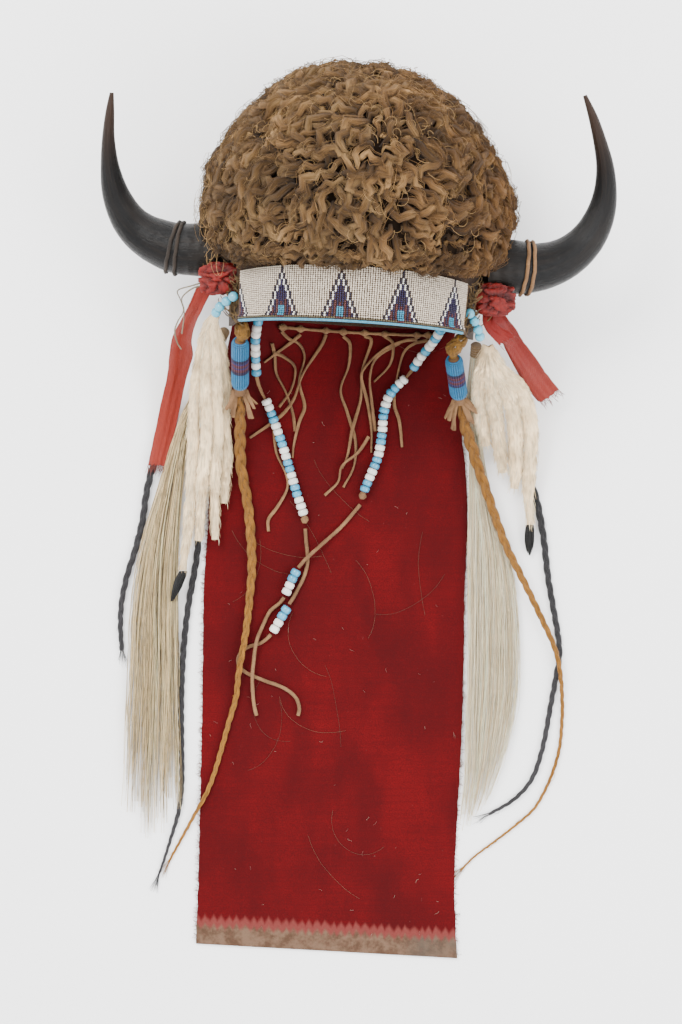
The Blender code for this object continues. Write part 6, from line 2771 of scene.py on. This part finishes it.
# The bare tails of the rim's lacing: along X, along Y and lift, in millimetres.
TIES = (
    ((-51, -5, 1.5), (-46, -10, 0.4), (-38, -14, 0), (-34, -24, 0), (-38, -42, 0), (-34, -60, 0),
     (-38, -72, 1.2),
     (-42, -89, 0), (-43, -99, 0)),
    ((-37, -7, 1.5), (-44, -13, 1.2), (-56, -22, 0.6), (-64, -28, 0)),
    ((-58, -14, 1.0), (-56, -24, 0), (-55, -36, 0), (-48, -50, 0), (-43, -65, 0), (-41, -79, 0)),
    ((-57, -21, 2.2), (-49, -24, 0.6), (-41, -32, 0), (-44, -48, 0), (-53, -61, 0)),
    ((-18, -7, 1.5), (-22, -16, 0), (-35, -36, 2.2), (-42, -55, 1.6), (-50, -66, 2.6), (-60, -74, 1),
     (-75, -84, 0)),
    ((-57, -76, 0), (-55, -95, 0), (-48, -111, 3.2), (-47, -122, 1), (-54, -135, 0), (-61, -145, 0),
     (-61, -154, 0)),
    ((-5, -8, 1.5), (0, -14, 0), (-1, -30, 0), (-7, -48, 0), (-2, -65, 0), (4, -86, 0), (3, -105, 0),
     (-5, -121, 0)),
    ((11, -8, 1.5), (16, -12, 1.2), (9, -34, 0), (8, -55, 0), (2, -77, 1.8), (-2, -98, 0), (-6, -107, 0)),
    ((50, -11, 1.5), (40, -12, 2.2), (25, -18, 2.4), (14, -28, 2.2), (8.5, -38, 3.2), (13, -57, 0),
     (16, -77, 1),
     (16, -95, 0)),
    ((37, -13, 1), (20, -24, 0), (15, -38, 2.2), (16, -55, 2.2), (19, -79, 0)),
    ((26, -8, 1.5), (32, -14, 3.2), (30, -29, 0), (18, -42, 0)),
    ((58, -12, 1.5), (48, -14, 0), (40, -21, 0.6), (35, -40, 0), (33, -58, 0), (37, -72, 0), (39, -91, 0)),
    ((14, -83, 2.2), (6, -95, 1.8), (-6, -105, 3.2), (-9, -117, 0), (-19, -127, 0)),
)
# Stiff sinew strings beside the left rosette, in the air: along X, along Y and up, in millimetres.
SINEWS = (
    ((-106, 25, 106), (-113, 23, 105), (-124, 19.5, 103), (-122, 13, 102), (-120, 5, 100), (-124, -2, 98),
     (-126.5, -9, 96), (-125, -17, 93), (-122, -22, 91)),
    ((-106, 23, 105), (-114, 20.5, 104), (-121, 14, 103), (-119.5, 6, 101), (-120, -2, 98),
     (-121.5, -11, 94)),
)
YELLOW = ((0.255, 0.104, 0.005), (0.095, 0.034, 0.0015))
BLACK = ((0.022, 0.020, 0.022), (0.003, 0.003, 0.0035))
BRAIDS = (
    Braid("braid_yellow_left", (
        (-81.1, -53.6, 22.5, 6), (-81.3, -62, 16, 7.6), (-81.6, -72, 10, 8.6), (-82, -84, 4.5, 8.8),
        (-82, -96, 1.2, 8.6), (-81, -109, 0.3, 8.2), (-76.5, -134, 0, 7.6), (-74, -161, 0, 7.2),
        (-73.5, -183, 0, 6.6),
        (-75, -202, 0, 6), (-77, -222, 1, 5.4), (-79, -236, 3.6, 5), (-81, -247, 4.2, 4.8),
        (-83.5, -262, 3.2, 4.6),
        (-85.5, -279, 0, 4.2), (-91, -298, 0, 4), (-100, -330, 0, 3.6), (-106.5, -348, 0.7, 3.4),
        (-113.5, -361, 1.2, 3), (-124, -380, 0, 2.4), (-136, -402, 0, 1.8)), *YELLOW),
    Braid("braid_yellow_right", (
        (81.3, -60.4, 27.6, 6), (83, -67, 22.5, 7.6), (85, -75, 18.5, 8.6), (87.5, -83, 15.5, 9.2),
        (90.5, -91, 13, 9.2), (95, -105, 10, 8.4), (100, -119, 9.4, 7.8), (109, -145, 9.2, 6.8),
        (117, -166, 9.4, 6.2),
        (126, -184, 9, 5.6), (136, -204, 6, 5), (145, -223, 6, 4.6), (151, -236, 5.6, 4.2),
        (155.5, -250, 5.2, 3.8),
        (158, -266, 4, 3.4), (158.8, -279, 1, 3.2), (159, -292, 0, 3), (157, -316, 0, 2.8),
        (151, -337, 0, 2.6),
        (143, -354, 0, 2.4), (136, -364, 0, 2.2), (122, -376, 0, 2), (109, -386, 0, 1.8), (93, -398, 0, 1.6),
        (83, -408, 0, 1.4)), *YELLOW),
    Braid("braid_black_outer", (
        (-138, -76, 0, 5.4), (-142, -90, 0, 5.4), (-149, -110, 0, 5.4), (-153, -128, 0, 5.4),
        (-155.5, -146, 0, 5.2),
        (-161, -168, 0, 5), (-167, -187, 0, 4.8), (-171, -206, 0, 4.6), (-172, -224, 0, 4.2),
        (-171, -243, 0, 3.6)),
        *BLACK),
    Braid("braid_black_inner", (
        (-112, -146, 0, 5), (-113.5, -160, 0, 5.2), (-115, -175, 0, 5.2), (-118, -192, 0, 5.2),
        (-121.5, -212, 0, 5),
        (-124.1, -236, 0, 5), (-125.8, -262, 0, 4.8), (-126.4, -289, 0, 4.6), (-126.1, -318, 0, 4.4),
        (-126, -344, 0, 4), (-128.5, -364, 0, 3.6), (-134, -383, 0, 2.8), (-140, -402, 0, 2.2),
        (-144, -413, 0, 1.6)),
        *BLACK),
    Braid("braid_black_right", (
        (127, -96, 2, 5), (131, -108, 0.6, 5.4), (135.5, -118, 0, 5.6), (140.5, -134, 0, 5.6),
        (145, -159, 0, 5.4),
        (148, -186, 0, 5.2), (151.5, -207, 0, 5), (155.5, -230, 0, 4.8), (157, -246, 0, 4.6),
        (154.5, -262, 0, 4.6),
        (150, -286, 0, 4.4), (146.5, -306, 0, 4.2), (143, -321, 0, 4), (138, -336, 0, 3.8),
        (131, -347, 0, 3.4),
        (120, -357, 0, 3), (104, -366, 0, 2.4)), *BLACK),
)


def main() -> None:
    """Makes the scene's pieces in order."""
    logging.basicConfig(level=logging.INFO, format="%(message)s")
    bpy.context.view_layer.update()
    studio = Studio()
    studio.camera()
    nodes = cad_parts
    ground = Ground(nodes["trailer"])
    wool = FibreFinish("buffalo_wool", streak=1.25, across=5.0, roughness=0.85, gloss=0.05).make()
    hair = FibreFinish("horsehair", streak=0.8, across=2.6, roughness=0.45, gloss=0.3).make()
    fur = FibreFinish("white_fur", streak=0.45, roughness=0.7, relief=0.6, stain=(0.42, 0.25, 0.10),
                      stain_amount=0.42, gloss=0.15).make()
    hide = LeatherFinish("tanned_hide", (0.042, 0.020, 0.0085), (0.016, 0.008, 0.0036), 1100.0).make()
    thong = LeatherFinish("tan_thong", (0.215, 0.114, 0.050), (0.085, 0.042, 0.018), 2200.0, 0.68, 0.6).make()
    sinew = LeatherFinish("dark_sinew", (0.030, 0.020, 0.013), (0.010, 0.007, 0.005), 2200.0, 0.6, 0.6).make()
    sinew_pale = LeatherFinish("pale_sinew", (0.16, 0.13, 0.085), (0.08, 0.06, 0.04), 2200.0, 0.6, 0.4).make()
    backing = LeatherFinish("band_backing", (0.072, 0.040, 0.019), (0.026, 0.014, 0.007), 1100.0).make()
    horn = HornFinish().make()
    seed = BeadFinish("seed_beads", 0.25, 0.35).make()
    pony = BeadFinish("pony_beads", 0.16, 0.6).make()
    silk = SilkFinish("red_silk").make()
    for cord in THONGS:
        cord.build(ground, thong)
    for k, route in enumerate(TIES):
        Thong(f"tie_{k + 1}", route, wide=0.0026, thick=0.0016, twist=2.2).build(ground, thong)
    for k, route in enumerate(SINEWS):
        Thong(f"sinew_{k + 1}", route, wide=0.0012, thick=0.0008, stiffness="stiff").build(ground, sinew_pale)
    for braid in BRAIDS:
        braid.build(ground, hair)
    LOG.info("cords made")
    for string in STRINGS:
        string.build(ground, pony, thong)
    Dome().hide(hide)
    Dome().wool(wool, wool)
    LOG.info("wool made")
    BrowBand().build(seed, backing)
    Horn("left", HORN_LEFT).build(horn, sinew)
    Horn("right", HORN_RIGHT).build(horn, thong)
    Trailer().build(TradeClothFinish().make(), hair)
    RimLacing().build(ground, thong)
    left_tail = ((-97, -17, 49, 5), (-106.5, -40, 26, 6), (-124, -74, 8, 7))
    right_tail = ((90.5, -31, 67, 5), (89.8, -56, 35, 6), (93.5, -86, 7.6, 7))
    HairDrop("left", (-92.8, -9.3, 59.9), (
        (*left_tail, (-137, -122, 5, 10), (-148, -165, 5, 12), (-154, -210, 5, 15), (-157, -270, 5, 15),
         (-160, -330, 4.6, 14), (-161, -368, 4, 15)),
        (*left_tail, (-134, -122, 6, 11), (-140, -165, 6, 14), (-143, -210, 6, 16), (-144, -270, 6, 16),
         (-146, -330, 5.6, 15), (-147, -384, 4, 15)),
        (*left_tail, (-131, -122, 5, 9), (-134.5, -165, 5, 10), (-135.5, -210, 5, 11), (-135, -270, 5, 11),
         (-134, -325, 4.6, 11), (-133, -366, 4, 12)),
    ), 560, ((0.78, 0.56, 0.27), (0.40, 0.27, 0.12), (0.94, 0.74, 0.42), (0.13, 0.088, 0.048),
             (0.018, 0.015, 0.013), (0.86, 0.64, 0.34), (0.92, 0.72, 0.40))).build(hair)
    HairDrop("right", (91.3, -20.9, 75), (
        (*right_tail, (94.5, -125, 5, 9), (95, -170, 5, 11), (95, -230, 5, 11), (93, -290, 5, 10),
        (91, -340, 4.6, 9),
         (86, -378, 4, 6)),
        (*right_tail, (99, -130, 5.5, 10), (106, -172, 5.5, 14), (108, -230, 5.5, 16), (106, -290, 5.5, 15),
         (99, -340, 4.6, 10), (92, -366, 4, 6)),
        (*right_tail, (101, -130, 5, 8), (113, -172, 5, 11), (119, -230, 5, 13), (117, -290, 5, 12),
         (107, -336, 4.6, 8), (99, -358, 4, 5)),
    ), 480, ((0.92, 0.76, 0.48), (0.98, 0.88, 0.66), (0.78, 0.60, 0.35), (0.96, 0.82, 0.56))).build(hair)
    LOG.info("hair made")
    Ermine("left", (-97, 2, 93), (
        ((-102.5, -4, 86), (-108, -20, 63), (-114, -50, 35), (-116, -90, 17), (-119, -130, 12.5),
         (-121, -155, 12),
         (-124, -183, 12)),
        ((-101.5, -4, 87), (-104, -20, 67), (-106.5, -50, 39), (-108, -90, 20), (-110.5, -130, 14),
         (-113, -161, 12)),
        ((-99.5, -4, 88), (-98.5, -20, 69), (-98, -50, 38), (-99.5, -90, 17), (-102, -130, 11),
         (-103, -160, 10)),
        ((-98.5, -4, 87), (-95, -20, 64), (-93, -50, 31), (-92.4, -85, 13), (-92.6, -112, 8),
         (-93, -133, 7.5)),
    ), ((-124.3, -183.9, 12, 6), (-127, -190, 12, 7.4), (-130, -198, 11, 6),
    (-133, -206, 9, 2))).build(fur, hair)
    Ermine("right", (100, -20, 86.5), (
        ((97.5, -26, 84), (95.5, -38, 72), (96, -55, 50), (98.5, -74, 27), (102, -90, 18)),
        ((99.5, -26, 84), (101, -38, 73), (105, -55, 53), (110, -78, 27), (112.5, -110, 14)),
        ((101.5, -26, 84), (107, -38, 72), (116, -52, 54), (122, -78, 27), (123.5, -104, 15.5),
         (121, -122, 11.5)),
        ((103.5, -25, 84), (111, -36, 71), (124.5, -49, 51), (132, -72, 28), (134.5, -105, 15.5),
         (134.5, -149, 7)),
    ), ((134.4, -149.5, 6.7, 6), (134.2, -156, 6, 7.4), (134.2, -165, 5, 6.4),
    (134.4, -172, 4, 2)), 0.0112).build(fur, hair)
    Sleeve("left", ((-80, -15, 77), (-81, -47, 46)), ((-79.2, -3.1, 86.3), (-78, -9, 82), (-80, -14.2, 77.7)),
           ((-89, -63, 33), (-87, -69, 27), (-75, -70, 28), (-71, -63, 35))).build(seed, thong, hair)
    Sleeve("right", ((75, -28, 77), (80, -54, 49)), ((82.6, -12.6, 86.1), (75.2, -20.6, 83),
    (74.8, -27.2, 77.7)),
           ((73, -72, 37), (77, -79, 31), (91, -74, 36), (93, -67, 42))).build(seed, thong, hair)
    BeadLoop("left", ((-83.6, 14, 119.8), (-88.6, 11, 115.2), (-93.6, 7.3, 110.0),
    (-96.4, 3.6, 104.1))).build(pony)
    BeadLoop("right", ((85.1, 2.1, 115.5), (88.9, -3.4, 111.3), (91.6, -9, 106.5),
    (93, -13.5, 101))).build(pony)
    Ribbon("ribbon_tail_left", (
        ((-109.5, 22.4, 104.9), (-98, 22.4, 104.9)), ((-117, 8, 92), (-107, 7, 94)), ((-129, -9, 62),
         (-115.5, -10, 66)),
        ((-133, -23, 44), (-116, -24, 47)), ((-136, -40, 27), (-121.5, -40, 29)), ((-141, -58, 14),
         (-126.5, -59, 15)),
        ((-146, -80, 6.6), (-131.5, -81, 6.6)), ((-151, -104, 6.2), (-137.5, -105, 6.2)),
    ), (0.75, 1.0), (0.0155, 0.175), 60).build(silk, hair)
    Ribbon("ribbon_tail_right", (
        ((98.5, 7, 93.1), (109, 7, 93.1)), ((103, -3, 91.6), (114, -1, 91.6)), ((106.5, -9, 84),
         (118, -5, 84)),
        ((113, -21, 68), (126, -15, 68)), ((121, -34, 52), (137, -28, 52)), ((130, -47, 34), (147, -40, 34)),
        ((140, -58, 22), (156, -50, 22)),
    ), (0.3, 0.75), (0.0155, 0.112), 46).build(silk, hair)
    Ribbon("ribbon_end_right", (
        ((96.5, 9.5, 96.1), (104.5, 9, 96.1)), ((95, 0, 97), (103, -1.5, 97.4)), ((97, -8, 97.6),
         (108, -7, 98)),
        ((102, -14, 97.2), (114, -10, 97.8)), ((107, -19, 96.4), (119, -13, 97)),
    ), (0.2, 0.4), (0.0115, 0.033), 12).build(silk, hair)
    # The bunched silk's dark colour is painted shade for the creases and its light colour is painted light on
    # the puffs.
    satin = SilkFinish("bunched_silk", (0.028, 0.0007, 0.0005), (0.180, 0.0060, 0.0022), 0.30).make()
    Rosette("left", (-94.2, 27.5, 108.8)).build(satin)
    Rosette("right", (104, 13.2, 102.1)).build(satin)
    studio.build(FloorFinish().make())
    LOG.info("pieces made")


if __name__ == "__main__":
    main()
